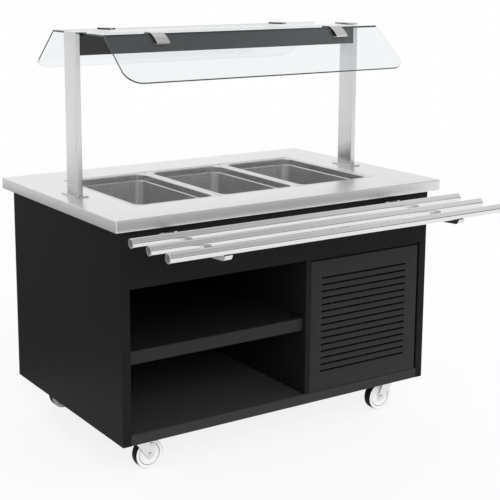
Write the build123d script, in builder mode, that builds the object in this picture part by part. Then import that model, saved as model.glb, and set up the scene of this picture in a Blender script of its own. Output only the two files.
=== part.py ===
from build123d import *
import os
from math import cos, radians, sin, tan

os.makedirs("parts", exist_ok=True)

# A mobile refrigerated salad bar. A black cabinet on four swivel castors carries a stainless
# worktop with a cooled well for three 1/1 pans. Two posts hold a lamp housing and a three-pane
# glass canopy over the pans. A tray slide of three tubes folds down at the customer's side.
#
# Millimetres. +X is the customer's right, +Y is away from the customer and +Z is up. The origin
# is on the floor, below the middle of the whole outline.

# ------------------------------------------------------------------------- driving sizes

# Worktop
worktop_length = 1300.0
worktop_depth = 870.0
worktop_height = 860.0  # top face above the floor
worktop_edge = 38.0  # height of the turned-down edge
worktop_sheet = 2.0
worktop_nose = 5.0  # radius along the top edges
worktop_corner = 6.0  # radius of the upright corners

# Cabinet
overhang = 30.0  # of the worktop beyond the cabinet, on all sides
side_thickness = 30.0
board = 20.0  # fascia, divider and back
base_thickness = 35.0
fascia_drop = 189.0  # from the worktop's underside to the top of the bays
machine_bay_width = 485.0
ceiling_rim = 6.0
panel_sheet = 2.0
edge_radius = 1.5  # along the cabinet's outer edges

# Shelf of the plate bay
shelf_height = 270.0  # top face above the bay's floor
shelf_lip = 43.0
shelf_setback = 14.0
shelf_gap = 1.0
angle_leg = 20.0  # of the strips that carry the shelf
shelf_back_gap = 12.0

# Louvred front panel of the machine bay
louvre_pitch = 23.7
louvre_length = 375.0
louvre_slot = 5.0
louvre_hood = 9.0  # depth of the hood behind each slot
louvre_low = 71.0  # lowest slot above the bay's floor
louvre_high = 70.0  # highest slot below the bay's top, at least
panel_setback = 1.0
panel_reveal = 8.0  # shadow step at its right and top
panel_return = 14.0
panel_gap = 1.0

# Service panel and its opening in the back
service_width = 400.0
service_height = 420.0
service_rise = 20.0  # above the bay's floor
service_lap = 15.0
service_rows = 9
service_columns = 2
service_pitch = 34.0
service_slot = 6.0
service_slot_length = 150.0
service_screw_radius = 5.0
service_screw_height = 2.5

# Well and its three 1/1 pans
pan_count = 3
pan_length = 325.0
pan_width = 530.0
pan_gap = 2.0
pan_depth = 150.0
pan_sheet = 1.2
pan_flange = 17.0
pan_rim = 4.0  # height of the turned-down rim
pan_corner = 12.0
basin_corner = 34.0
basin_floor_radius = 18.0
basin_taper = 2.5  # degrees
well_margin = 1.5  # round the pan flanges
flange_drop = 1.0  # of the pan flanges below the worktop
ledge_width = 12.0
lip_drop = 12.0
well_corner = 10.0
bar_width = 24.0
bar_height = 10.0
tub_sheet = 1.5
tub_depth = 170.0
tub_floor_radius = 8.0
tub_flange = 15.0
foam_thickness = 35.0
foam_gap = 14.0  # under the tub, for the cooling coil

# Cooling coil
coil_radius = 5.0
coil_passes = 6
coil_pitch = 80.0
coil_margin = 89.0  # from the end of a straight run to the well's end
coil_gap = 0.3  # under the tub

# Drain
drain_inset = 82.5  # from the tub's end
drain_bore = 11.0
drain_wall = 2.0
drain_length = 140.0
valve_radius = 22.0
valve_height = 46.0
valve_rise = 45.0  # of the valve's axis above the spigot's end
stem_radius = 5.0
stem_length = 34.0
lever_length = 85.0
lever_width = 16.0
lever_sheet = 4.0

# Refrigeration unit
condenser_width = 350.0
condenser_height = 330.0
condenser_depth = 46.0
condenser_fins = 22
condenser_fin = 3.0
condenser_foot = 20.0
condenser_setback = 40.0  # behind the cabinet's front
shroud_depth = 26.0
shroud_sheet = 2.0
fan_radius = 110.0
fan_tip_gap = 6.0
fan_hub_radius = 30.0
fan_hub_length = 24.0
fan_blades = 5
fan_blade_sheet = 3.0
fan_root_chord = 30.0
fan_root_pitch = 50.0  # degrees from the axis
fan_tip_chord = 60.0
fan_tip_pitch = 68.0
motor_radius = 42.0
motor_length = 60.0
motor_bridge = 30.0  # behind the shroud
motor_arm = 12.0
motor_shaft_radius = 4.0
compressor_radius = 76.0
compressor_height = 165.0
compressor_back = 150.0  # from the cabinet's back to its axis
compressor_foot = 15.0  # height of its rubber feet
compressor_foot_radius = 12.0
compressor_base = 6.0
compressor_plate_length = 210.0
compressor_plate_width = 160.0
compressor_seam = 3.0
compressor_stub = 30.0

# Controls on the operator's side
control_length = 250.0
control_height = 64.0
control_depth = 42.0
control_drop = 26.0  # from the worktop's underside to the housing
control_bezel = 8.0
control_sheet = 2.0
control_inset = 290.0  # its middle, from the cabinet's end
knob_radius = 19.0
knob_height = 17.0
knob_gap = 0.8
knob_shaft_radius = 3.0
knob_offset = 78.0
knob_flutes = 12
knob_flute = 3.0  # radius of the flutes and width of the pointer
knob_pointer = 11.4
rocker_width = 19.0
rocker_radius = 13.0
rocker_apex = 9.5
rocker_back = 4.0
rocker_angle = 8.0
rocker_gap = 0.4
rocker_spacing = 42.0
rocker_sink = 5.5  # of the rocker's pivot below the face
pocket_wall = 3.0
pocket_depth = 13.0
trunnion_radius = 2.0
trunnion_length = 1.6

# Canopy
post_inset = 68.0  # from the worktop's end
post_width = 20.0
post_depth = 80.0
post_wall = 2.0
post_corner = 2.5
foot_margin = 14.0
foot_plate = 4.0
foot_chamfer = 1.0
canopy_rise = 535.0  # worktop to the upper face of the top glass
housing_height = 65.0
housing_wall = 2.0
housing_lip = 12.0
gasket = 1.0
lamp_radius = 8.0
lamp_rise = 26.0  # of the lamp's axis above the housing's underside
lamp_socket = 22.0
lamp_end_gap = 60.0
glass = 6.0
glass_end_gap = 10.0  # between post and glass
top_glass_depth = 360.0
side_glass_length = 212.0
side_glass_slope = 40.2  # degrees below level
side_glass_corner = 55.0
glass_joint = 1.0  # between the inner corners of two panes
cap_plate = 3.0  # plate on the post that laps over the glass
cap_lap = 25.0

# Clamps between the panes
clamp_inset = 192.0  # from the end of the glass
clamp_width = 50.0
clamp_sheet = 3.0
clamp_leg_top = 55.0
clamp_leg_side = 50.0
clamp_hook = 6.0
clamp_corner = 10.0
backing_leg = 38.0
clamp_screw_radius = 2.5
clamp_screw_head = 5.2
clamp_hole_radius = 5.0
clamp_screw_inset = 22.0
clamp_nut_height = 4.0

# Tray slide
rail_radius = 15.0
rail_wall = 1.5
rail_count = 3
rail_pitch = 107.0
rail_gap = 90.0  # from the worktop's front edge to the first rail
rail_drop = 49.0  # rails below the worktop
cap_plug = 10.0
cap_disc = 2.0
cap_edge = 1.0
arm_inset = 197.0  # from the worktop's ends
arm_width = 26.0
arm_sheet = 3.0
arm_heel = 34.0
arm_toe = 16.5
arm_toe_setback = 9.0
arm_nose = 4.0
arm_nose_radius = 12.0
arm_overrun = 10.0  # beyond the last rail's middle
pivot_gap = 20.0  # from the worktop's front edge to the hinge pin
pivot_drop = 11.0  # below the arm's top
pivot_eye = 14.0
pin_radius = 5.0
pin_head_radius = 8.0
pin_head = 2.5
cheek_sheet = 4.0
cheek_gap = 0.5
bracket_plate = 4.0
bracket_height = 60.0
bracket_flange = 14.0

# Castors
castor_height = 125.0
castor_inset = 102.0  # swivel axis from the cabinet's ends
castor_setback = 86.0  # swivel axis from the cabinet's front and back
castor_trail = 32.0
castor_plate_length = 95.0
castor_plate_width = 70.0
castor_plate = 3.0
castor_plate_corner = 8.0
bolt_spacing_x = 75.0
bolt_spacing_y = 50.0
bolt_head_radius = 7.0
bolt_head = 5.0
race_radius = 27.0
race_height = 6.0
race_gap = 0.3
kingpin_radius = 6.0
kingpin_head_radius = 10.0
kingpin_head = 3.5
crown_radius = 24.0
crown_height = 11.7
fork_sheet = 3.0
fork_gap = 38.0  # between the legs
fork_eye = 13.0
fork_back = 26.0
fork_front = 18.0
fork_shoulder = 9.0
wheel_radius = 50.0
tyre_thickness = 4.0
tyre_width = 32.0
tyre_shoulder = 2.5
rim_width = 30.0
rim_thickness = 7.0
groove_width = 3.5
groove_depth = 6.0
web_width = 25.0
web_recess_radius = 20.0
hub_width = 36.0
hub_radius = 12.0
hub_flare = 2.0  # the hub and the web's edge widen by this
axle_radius = 4.0
axle_head_radius = 7.0
axle_head = 4.0
front_left_turn = 0.0  # degrees from +X to the trail
front_right_turn = 180.0
back_left_turn = 0.0
back_right_turn = 180.0

# Clearances
running_fit = 0.05  # radial, a pin that turns in its bore
seat_fit = 0.02  # radial, a pin held in its bore
diffuser_gap = 1.0  # at each end of the clear strip

# ------------------------------------------------------------------------- derived places

tray_reach = rail_gap + (rail_count - 1) * rail_pitch + max(rail_radius, arm_overrun)
front_y = (tray_reach - worktop_depth) / 2
back_y = front_y + worktop_depth
mid_y = (front_y + back_y) / 2

worktop_under = worktop_height - worktop_edge
carcass_top = worktop_height - worktop_sheet
cabinet_x = worktop_length / 2 - overhang
inner_x = cabinet_x - side_thickness
cabinet_front = front_y + overhang
cabinet_back = back_y - overhang
cabinet_depth = cabinet_back - cabinet_front
control_offset = cabinet_x - control_inset
bay_floor = castor_height + base_thickness
bay_top = worktop_under - fascia_drop
louvre_count = int((bay_top - bay_floor - louvre_low - louvre_high) // louvre_pitch) + 1
divider_right = inner_x - machine_bay_width
divider_left = divider_right - board
inner_front = cabinet_front + board
inner_back = cabinet_back - board

recess_length = pan_count * pan_length + (pan_count - 1) * pan_gap + 2 * well_margin
recess_width = pan_width + 2 * well_margin
well_length = recess_length - 2 * ledge_width
well_width = recess_width - 2 * ledge_width
pan_top = worktop_height - flange_drop
ledge_top = pan_top - pan_rim
ledge_under = ledge_top - worktop_sheet
lip_bottom = ledge_under - lip_drop
tub_length = well_length + 2 * worktop_sheet + 2 * tub_sheet
tub_width = well_width + 2 * worktop_sheet + 2 * tub_sheet
tub_corner = well_corner + tub_sheet
tub_bottom = worktop_height - tub_depth - tub_sheet
pan_pitch = pan_length + pan_gap
coil_run = well_length - 2 * coil_margin
drain_x = tub_length / 2 - drain_inset

canopy_top = worktop_height + canopy_rise
glass_under = canopy_top - glass
housing_top = glass_under - gasket
housing_bottom = housing_top - housing_height
post_outer_x = worktop_length / 2 - post_inset
post_inner_x = post_outer_x - post_width
glass_half = post_inner_x - glass_end_gap
slope = radians(side_glass_slope)

pivot_y = front_y - pivot_gap
rail_z = worktop_height - rail_drop
arm_top = rail_z - rail_radius
pivot_z = arm_top - pivot_drop
arm_front_y = front_y - rail_gap - (rail_count - 1) * rail_pitch - arm_overrun
arm_rear_y = pivot_y + pivot_eye
arm_centres = (-worktop_length / 2 + arm_inset, worktop_length / 2 - arm_inset)


def finish(piece, name):
    """Label a piece and write it as a STEP file."""
    piece.part.label = name
    export_step(piece.part, f"parts/{name}.step")


def block(x, y, z, mode=Mode.ADD):
    """A rectangular block between the pairs x, y and z, in the active part."""
    with Locations(((x[0] + x[1]) / 2, (y[0] + y[1]) / 2, (z[0] + z[1]) / 2)):
        Box(x[1] - x[0], y[1] - y[0], z[1] - z[0], mode=mode)


def rounded(length, width, radius, height, centre_y=mid_y):
    """A rounded rectangle at a height, centred on x = 0."""
    with BuildSketch(Plane.XY.offset(height)) as outline:
        with Locations((0, centre_y)):
            RectangleRounded(length, width, radius)
    return outline.sketch


# ------------------------------------------------------------------------- worktop and well

with BuildPart() as worktop:
    extrude(rounded(worktop_length, worktop_depth, worktop_corner, worktop_under), amount=worktop_edge)
    fillet(worktop.faces().sort_by(Axis.Z)[-1].edges(), worktop_nose)
    offset(amount=-worktop_sheet, openings=worktop.faces().sort_by(Axis.Z)[0])
    # The edge turns back in to meet the cabinet.
    with BuildSketch(Plane.XY.offset(worktop_under)):
        with Locations((0, mid_y)):
            RectangleRounded(worktop_length, worktop_depth, worktop_corner)
            Rectangle(2 * cabinet_x, cabinet_depth, mode=Mode.SUBTRACT)
    extrude(amount=worktop_sheet)
    # The recess round the pans, its ledge and the lip that hangs into the tub.
    extrude(
        rounded(recess_length + 2 * worktop_sheet, recess_width + 2 * worktop_sheet, well_corner, ledge_under),
        amount=carcass_top - ledge_under,
    )
    extrude(
        rounded(well_length + 2 * worktop_sheet, well_width + 2 * worktop_sheet, well_corner, lip_bottom),
        amount=lip_drop,
    )
    extrude(
        rounded(recess_length, recess_width, well_corner, ledge_top),
        amount=worktop_height - ledge_top,
        mode=Mode.SUBTRACT,
    )
    extrude(
        rounded(well_length, well_width, well_corner, lip_bottom),
        amount=worktop_height - lip_bottom,
        mode=Mode.SUBTRACT,
    )
finish(worktop, "worktop")

with BuildPart() as pan_dividers:
    for i in range(pan_count - 1):
        x = (i - (pan_count - 2) / 2) * pan_pitch
        block(
            (x - bar_width / 2, x + bar_width / 2),
            (mid_y - well_width / 2, mid_y + well_width / 2),
            (ledge_top - bar_height, ledge_top),
        )
        # A channel, open below.
        block(
            (x - bar_width / 2 + worktop_sheet, x + bar_width / 2 - worktop_sheet),
            (mid_y - well_width / 2, mid_y + well_width / 2),
            (ledge_top - bar_height, ledge_top - worktop_sheet),
            mode=Mode.SUBTRACT,
        )
finish(pan_dividers, "pan_dividers")

with BuildPart() as well_tub:
    extrude(rounded(tub_length, tub_width, tub_corner, tub_bottom), amount=ledge_under - tub_bottom)
    fillet(well_tub.faces().sort_by(Axis.Z)[0].edges(), tub_floor_radius)
    offset(amount=-tub_sheet, openings=well_tub.faces().sort_by(Axis.Z)[-1])
    with BuildSketch(Plane.XY.offset(ledge_under - tub_sheet)):
        with Locations((0, mid_y)):
            RectangleRounded(tub_length + 2 * tub_flange, tub_width + 2 * tub_flange, tub_corner)
            RectangleRounded(tub_length - tub_sheet, tub_width - tub_sheet, well_corner, mode=Mode.SUBTRACT)
    extrude(amount=tub_sheet)
    with Locations((drain_x, mid_y, tub_bottom)):
        Cylinder(drain_bore, 3 * tub_sheet, mode=Mode.SUBTRACT)
finish(well_tub, "well_tub")

coil_z = tub_bottom - coil_gap - coil_radius
foam_bottom = tub_bottom - foam_gap - foam_thickness
with BuildPart() as well_insulation:
    foam_length = tub_length + 2 * foam_thickness
    foam_width = tub_width + 2 * foam_thickness
    extrude(
        rounded(foam_length, foam_width, tub_corner, foam_bottom),
        amount=ledge_under - tub_sheet - foam_bottom,
    )
    extrude(
        rounded(tub_length, tub_width, tub_corner, tub_bottom - foam_gap),
        amount=ledge_under - tub_bottom + foam_gap,
        mode=Mode.SUBTRACT,
    )
    with Locations((drain_x, mid_y, foam_bottom + foam_thickness / 2)):
        Cylinder(drain_bore + drain_wall, foam_thickness, mode=Mode.SUBTRACT)
finish(well_insulation, "well_insulation")

# One tube runs to and fro under the tub.
with BuildPart() as cooling_coil:
    with BuildLine(Plane.XY.offset(coil_z)) as route:
        for i in range(coil_passes):
            y = mid_y + (i - (coil_passes - 1) / 2) * coil_pitch
            side = 1 if i % 2 == 0 else -1
            Line((-side * coil_run / 2, y), (side * coil_run / 2, y))
            if i < coil_passes - 1:
                mid = (side * (coil_run + coil_pitch) / 2, y + coil_pitch / 2)
                ThreePointArc((side * coil_run / 2, y), mid, (side * coil_run / 2, y + coil_pitch))
    start = route.wires()[0] @ 0
    with BuildSketch(Plane(origin=start, z_dir=route.wires()[0] % 0)):
        Circle(coil_radius)
    sweep(path=route.wires()[0])
finish(cooling_coil, "cooling_coil")

basin_length = pan_length - 2 * pan_flange
basin_width = pan_width - 2 * pan_flange


def make_basin(x, inset):
    """The tapered bowl of a pan at x, with its walls and floor moved in by inset."""
    with BuildPart() as basin:
        with BuildSketch(Plane.XY.offset(pan_top)):
            with Locations((x, mid_y)):
                RectangleRounded(basin_length - 2 * inset, basin_width - 2 * inset, basin_corner - inset)
        extrude(amount=inset - pan_depth, taper=basin_taper)
        fillet(basin.faces().sort_by(Axis.Z)[0].edges(), basin_floor_radius - inset)
    return basin.part


for i in range(pan_count):
    pan_x = (i - (pan_count - 1) / 2) * pan_pitch
    with BuildPart() as pan:
        add(make_basin(pan_x, 0))
        with BuildSketch(Plane.XY.offset(pan_top - pan_sheet)):
            with Locations((pan_x, mid_y)):
                RectangleRounded(pan_length, pan_width, pan_corner)
        extrude(amount=pan_sheet)
        add(make_basin(pan_x, pan_sheet), mode=Mode.SUBTRACT)
        with BuildSketch(Plane.XY.offset(pan_top - pan_rim)):
            with Locations((pan_x, mid_y)):
                RectangleRounded(pan_length, pan_width, pan_corner)
                RectangleRounded(
                    pan_length - 2 * pan_sheet, pan_width - 2 * pan_sheet, pan_corner - pan_sheet, mode=Mode.SUBTRACT
                )
        extrude(amount=pan_rim)
    finish(pan, ("left_pan", "centre_pan", "right_pan")[i])

# ------------------------------------------------------------------------- cabinet

for name, side in (("left_side_panel", -1), ("right_side_panel", 1)):
    with BuildPart() as side_panel:
        block(
            sorted((side * inner_x, side * cabinet_x)),
            (cabinet_front, cabinet_back),
            (castor_height, carcass_top),
        )
        outer = side_panel.faces().sort_by(Axis.X)[-1 if side > 0 else 0]
        fillet(outer.edges().filter_by(Axis.Z), edge_radius)
    finish(side_panel, name)

with BuildPart() as base_panel:
    block((-inner_x, inner_x), (cabinet_front, cabinet_back), (castor_height, bay_floor))
    for face in (base_panel.faces().sort_by(Axis.Y)[0], base_panel.faces().sort_by(Axis.Y)[-1]):
        fillet(face.edges().filter_by(Axis.X), edge_radius)
finish(base_panel, "base_panel")

with BuildPart() as front_fascia:
    block((-inner_x, inner_x), (cabinet_front, inner_front), (bay_top, carcass_top))
    lower_edge = front_fascia.faces().sort_by(Axis.Y)[0].edges().sort_by(Axis.Z)[0]
    fillet(lower_edge, edge_radius)
finish(front_fascia, "front_fascia")

with BuildPart() as divider_wall:
    block((divider_left, divider_right), (cabinet_front, inner_back), (bay_floor, bay_top))
    fillet(divider_wall.faces().sort_by(Axis.Y)[0].edges().filter_by(Axis.Z), edge_radius)
finish(divider_wall, "divider_wall")

service_left = divider_right + (inner_x - divider_right - service_width) / 2
service_centre = service_left + service_width / 2
service_bottom = bay_floor + service_rise
control_top = worktop_under - control_drop
with BuildPart() as back_panel:
    block((-inner_x, inner_x), (inner_back, cabinet_back), (bay_floor, carcass_top))
    block(
        (service_left, service_left + service_width),
        (inner_back, cabinet_back),
        (service_bottom, service_bottom + service_height),
        mode=Mode.SUBTRACT,
    )
    block(
        (control_offset - control_length / 2, control_offset + control_length / 2),
        (inner_back, cabinet_back),
        (control_top - control_height, control_top),
        mode=Mode.SUBTRACT,
    )
finish(back_panel, "back_panel")

# A shallow tray closes the plate bay above. Its turned-up rims meet the walls.
with BuildPart() as bay_ceiling:
    block((-inner_x, divider_left), (inner_front, inner_back), (bay_top, bay_top + ceiling_rim))
    offset(amount=-panel_sheet, openings=bay_ceiling.faces().sort_by(Axis.Z)[-1])
finish(bay_ceiling, "bay_ceiling")

shelf_top = bay_floor + shelf_height
with BuildPart() as shelf:
    block(
        (-inner_x + shelf_gap, divider_left - shelf_gap),
        (cabinet_front + shelf_setback, inner_back - shelf_back_gap),
        (shelf_top - shelf_lip, shelf_top),
    )
    fillet(shelf.faces().sort_by(Axis.Y)[0].edges().sort_by(Axis.Z)[-1], edge_radius)
    # Open below and at both ends: a top sheet with a front and a back lip.
    block(
        (-inner_x, divider_left),
        (cabinet_front + shelf_setback + panel_sheet, inner_back - shelf_back_gap - panel_sheet),
        (shelf_top - shelf_lip, shelf_top - panel_sheet),
        mode=Mode.SUBTRACT,
    )
finish(shelf, "shelf")

with BuildPart() as shelf_angles:
    angle_y = (cabinet_front + shelf_setback + 2 * panel_sheet, inner_back - shelf_back_gap - 2 * panel_sheet)
    angle_top = shelf_top - panel_sheet
    for wall, inward in ((-inner_x, 1), (divider_left, -1)):
        block(sorted((wall, wall + inward * angle_leg)), angle_y, (angle_top - panel_sheet, angle_top))
        block(sorted((wall, wall + inward * panel_sheet)), angle_y, (angle_top - angle_leg, angle_top))
finish(shelf_angles, "shelf_angles")

# The machine bay's front: a sheet with returned edges and a column of hooded slots.
panel_left = divider_right + panel_gap
panel_right = inner_x - panel_reveal
panel_bottom = bay_floor + panel_gap
panel_top = bay_top - panel_reveal
panel_front = cabinet_front + panel_setback
slot_centre_x = (divider_right + inner_x) / 2 - panel_reveal
slot_centre_z = bay_floor + louvre_low + (louvre_count - 1) * louvre_pitch / 2
with BuildPart() as louvred_panel:
    block((panel_left, panel_right), (panel_front, panel_front + panel_return), (panel_bottom, panel_top))
    fillet(louvred_panel.faces().sort_by(Axis.Y)[0].edges(), edge_radius)
    offset(amount=-panel_sheet, openings=louvred_panel.faces().sort_by(Axis.Y)[-1])
    # Flanges behind the shadow step reach the side and the fascia.
    flange_y = (panel_front + panel_return - panel_sheet, panel_front + panel_return)
    block((panel_right - panel_sheet, inner_x), flange_y, (panel_bottom, bay_top))
    block((panel_left, inner_x), flange_y, (panel_top - panel_sheet, bay_top))
    front_plane = Plane(origin=(slot_centre_x, panel_front, slot_centre_z), x_dir=(1, 0, 0), z_dir=(0, -1, 0))
    with BuildSketch(front_plane):
        with GridLocations(0, louvre_pitch, 1, louvre_count):
            SlotOverall(louvre_length, louvre_slot)
    extrude(amount=-panel_sheet, mode=Mode.SUBTRACT)
    # A hood behind each slot slopes down and back, so that nothing can be pushed straight in.
    hood_plane = Plane(
        origin=(slot_centre_x, panel_front + panel_sheet, slot_centre_z), x_dir=(0, 1, 0), z_dir=(1, 0, 0)
    )
    with BuildSketch(hood_plane):
        with GridLocations(0, louvre_pitch, 1, louvre_count):
            Polygon(
                (0, louvre_slot / 2 + panel_sheet),
                (0, louvre_slot / 2),
                (louvre_hood - panel_sheet, -louvre_slot / 2),
                (louvre_hood, -louvre_slot / 2),
                align=None,
            )
    extrude(amount=louvre_length / 2, both=True)
finish(louvred_panel, "louvred_panel")

with BuildPart() as service_panel:
    block(
        (service_left - service_lap, service_left + service_width + service_lap),
        (cabinet_back, cabinet_back + panel_sheet),
        (service_bottom - service_lap, service_bottom + service_height + service_lap),
    )
    centre = (service_centre, cabinet_back + panel_sheet, service_bottom + service_height / 2)
    back_plane = Plane(origin=centre, x_dir=(-1, 0, 0), z_dir=(0, 1, 0))
    column_pitch = service_width / service_columns
    with BuildSketch(back_plane):
        with GridLocations(column_pitch, service_pitch, service_columns, service_rows):
            SlotOverall(service_slot_length, service_slot)
    extrude(amount=-panel_sheet, mode=Mode.SUBTRACT)
    # Screw heads in the corners.
    with BuildSketch(back_plane):
        with GridLocations(service_width + service_lap, service_height + service_lap, 2, 2):
            Circle(service_screw_radius)
    extrude(amount=service_screw_height)
finish(service_panel, "service_panel")

# ------------------------------------------------------------------------- refrigeration unit

condenser_front = cabinet_front + condenser_setback
condenser_back = condenser_front + condenser_depth
condenser_low = bay_floor + condenser_foot
condenser_high = condenser_low + condenser_height
shroud_back = condenser_back + shroud_depth
fan_z = (condenser_low + condenser_high) / 2
fan_axis = Plane(origin=(slot_centre_x, shroud_back, fan_z), x_dir=(-1, 0, 0), z_dir=(0, 1, 0))

# A finned block between two end plates that stand on the bay's floor.
with BuildPart() as condenser:
    half = condenser_width / 2
    middle = (condenser_front + condenser_back) / 2
    block(
        (slot_centre_x - half, slot_centre_x + half),
        (middle - condenser_depth / 4, middle + condenser_depth / 4),
        (condenser_low, condenser_high),
    )
    with BuildSketch(Plane.XY.offset(condenser_low)):
        with Locations((slot_centre_x, middle)):
            with GridLocations(condenser_width / condenser_fins, 0, condenser_fins, 1):
                Rectangle(condenser_fin, condenser_depth)
    extrude(amount=condenser_height)
    for end in (slot_centre_x - half, slot_centre_x + half - condenser_fin):
        block((end, end + condenser_fin), (condenser_front, condenser_back), (bay_floor, condenser_high))
finish(condenser, "condenser")

with BuildPart() as fan_shroud:
    block(
        (slot_centre_x - condenser_width / 2, slot_centre_x + condenser_width / 2),
        (condenser_back, shroud_back),
        (condenser_low, condenser_high),
    )
    offset(amount=-shroud_sheet, openings=fan_shroud.faces().sort_by(Axis.Y)[0])
    with BuildSketch(fan_axis):
        Circle(fan_radius + fan_tip_gap)
    extrude(amount=-shroud_sheet, mode=Mode.SUBTRACT)
finish(fan_shroud, "fan_shroud")

# The motor hangs on a bridge across the shroud's hole; its shaft carries the fan.
with BuildPart() as fan_motor:
    bridge_y = shroud_back + motor_bridge
    bridge_half = fan_radius + fan_tip_gap + motor_arm
    bridge_x = (slot_centre_x - motor_arm, slot_centre_x + motor_arm)
    block(bridge_x, (bridge_y - shroud_sheet, bridge_y), (fan_z - bridge_half, fan_z + bridge_half))
    for low in (fan_z - bridge_half, fan_z + bridge_half - shroud_sheet):
        block(bridge_x, (shroud_back, bridge_y), (low, low + shroud_sheet))
    with BuildSketch(fan_axis.offset(motor_bridge)):
        Circle(motor_radius)
    extrude(amount=motor_length)
    fillet(fan_motor.faces().sort_by(Axis.Y)[-1].edges(), motor_arm)
    with BuildSketch(fan_axis.offset(motor_bridge)):
        Circle(motor_shaft_radius)
    extrude(amount=-motor_bridge - fan_hub_length / 2)
finish(fan_motor, "fan_motor")

with BuildPart() as fan:
    with BuildSketch(fan_axis.offset(-fan_hub_length)):
        Circle(fan_hub_radius)
    extrude(amount=fan_hub_length)
    fillet(fan.faces().sort_by(Axis.Y)[0].edges(), fan_blade_sheet)
    for i in range(fan_blades):
        turn = radians(i * 360 / fan_blades)
        outward = Vector(cos(turn), 0, sin(turn))
        hub_centre = fan_axis.origin + Vector(0, -fan_hub_length / 2, 0)
        # The blade widens and flattens from its root to its tip.
        stations = (
            (fan_hub_radius - fan_blade_sheet, fan_root_chord, fan_root_pitch),
            (fan_radius, fan_tip_chord, fan_tip_pitch),
        )
        for radius, chord, pitch in stations:
            with BuildSketch(Plane(origin=hub_centre + outward * radius, x_dir=(0, 1, 0), z_dir=outward)):
                Rectangle(fan_blade_sheet, chord, rotation=90 - pitch)
        loft()
    with BuildSketch(fan_axis):
        Circle(motor_shaft_radius + running_fit)
    extrude(amount=-fan_hub_length / 2 - running_fit, mode=Mode.SUBTRACT)
finish(fan, "fan")

with BuildPart() as compressor:
    compressor_at = (slot_centre_x, cabinet_back - compressor_back)
    with BuildSketch(Plane.XY.offset(bay_floor + compressor_foot)):
        with Locations(compressor_at):
            RectangleRounded(compressor_plate_length, compressor_plate_width, compressor_foot)
    extrude(amount=compressor_base)
    with BuildSketch(Plane.XY.offset(bay_floor)):
        with Locations(compressor_at):
            with GridLocations(
                compressor_plate_length - 2 * compressor_foot, compressor_plate_width - 2 * compressor_foot, 2, 2
            ):
                Circle(compressor_foot_radius)
    extrude(amount=compressor_foot)
    shell_bottom = bay_floor + compressor_foot + compressor_base
    with BuildSketch(Plane.XY.offset(shell_bottom)):
        with Locations(compressor_at):
            Circle(compressor_radius)
    extrude(amount=compressor_height)
    fillet(compressor.faces().sort_by(Axis.Z)[-1].edges(), compressor_radius / 2)
    with BuildSketch(Plane.XY.offset(shell_bottom + compressor_height / 2)):
        with Locations(compressor_at):
            Circle(compressor_radius + compressor_seam)
    extrude(amount=2 * compressor_seam)
    with BuildSketch(Plane.XY.offset(shell_bottom + compressor_height / 2)):
        with Locations((compressor_at[0], compressor_at[1] - compressor_radius / 2)):
            Circle(coil_radius)
    extrude(amount=compressor_height / 2 + compressor_stub)
finish(compressor, "compressor")

# ------------------------------------------------------------------------- drain

drain_end = tub_bottom - drain_length
valve_z = drain_end + valve_rise
valve_axis = Plane(origin=(drain_x, mid_y, valve_z), x_dir=(1, 0, 0), z_dir=(0, 1, 0))
with BuildPart() as drain_pipe:
    with BuildSketch(Plane.XY.offset(drain_end)):
        with Locations((drain_x, mid_y)):
            Circle(drain_bore + drain_wall)
    extrude(amount=drain_length)
    with BuildSketch(Plane.XY.offset(valve_z - valve_height / 2)):
        with Locations((drain_x, mid_y)):
            Circle(valve_radius)
    extrude(amount=valve_height)
    fillet(drain_pipe.edges().filter_by(GeomType.CIRCLE).filter_by(lambda e: e.radius == valve_radius), drain_wall)
    with BuildSketch(valve_axis):
        RegularPolygon(stem_radius + 2 * drain_wall, 6)
    extrude(amount=valve_radius + drain_wall)
    with BuildSketch(Plane.XY.offset(drain_end)):
        with Locations((drain_x, mid_y)):
            Circle(drain_bore)
    extrude(amount=drain_length, mode=Mode.SUBTRACT)
    # The closed ball.
    with Locations((drain_x, mid_y, valve_z)):
        Sphere(drain_bore + 2 * drain_wall)
    with BuildSketch(valve_axis.offset(valve_radius / 2)):
        Circle(stem_radius + running_fit)
    extrude(amount=valve_radius, mode=Mode.SUBTRACT)
finish(drain_pipe, "drain_pipe")

with BuildPart() as drain_lever:
    with BuildSketch(valve_axis.offset(valve_radius / 2 + running_fit)):
        Circle(stem_radius)
    extrude(amount=stem_length - valve_radius / 2)
    with BuildSketch(valve_axis.offset(stem_length - lever_sheet)):
        SlotCenterPoint(center=(lever_length / 2, 0), point=(lever_length, 0), height=lever_width)
    extrude(amount=lever_sheet)
finish(drain_lever, "drain_lever")

# ------------------------------------------------------------------------- controls

control_face = cabinet_back + control_sheet
control_z = control_top - control_height / 2
rocker_y = control_face - rocker_sink
knob_x = control_offset - knob_offset
rocker_xs = (control_offset + rocker_spacing / 2, control_offset + 3 * rocker_spacing / 2)
controls_plane = Plane(origin=(control_offset, control_face, control_z), x_dir=(-1, 0, 0), z_dir=(0, 1, 0))


def rocker_plane(x):
    """Across a rocker at x, on its pivot: its x is outwards from the cabinet and its y is up."""
    return Plane(origin=(x, rocker_y, control_z), x_dir=(0, 1, 0), z_dir=(1, 0, 0))


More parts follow.
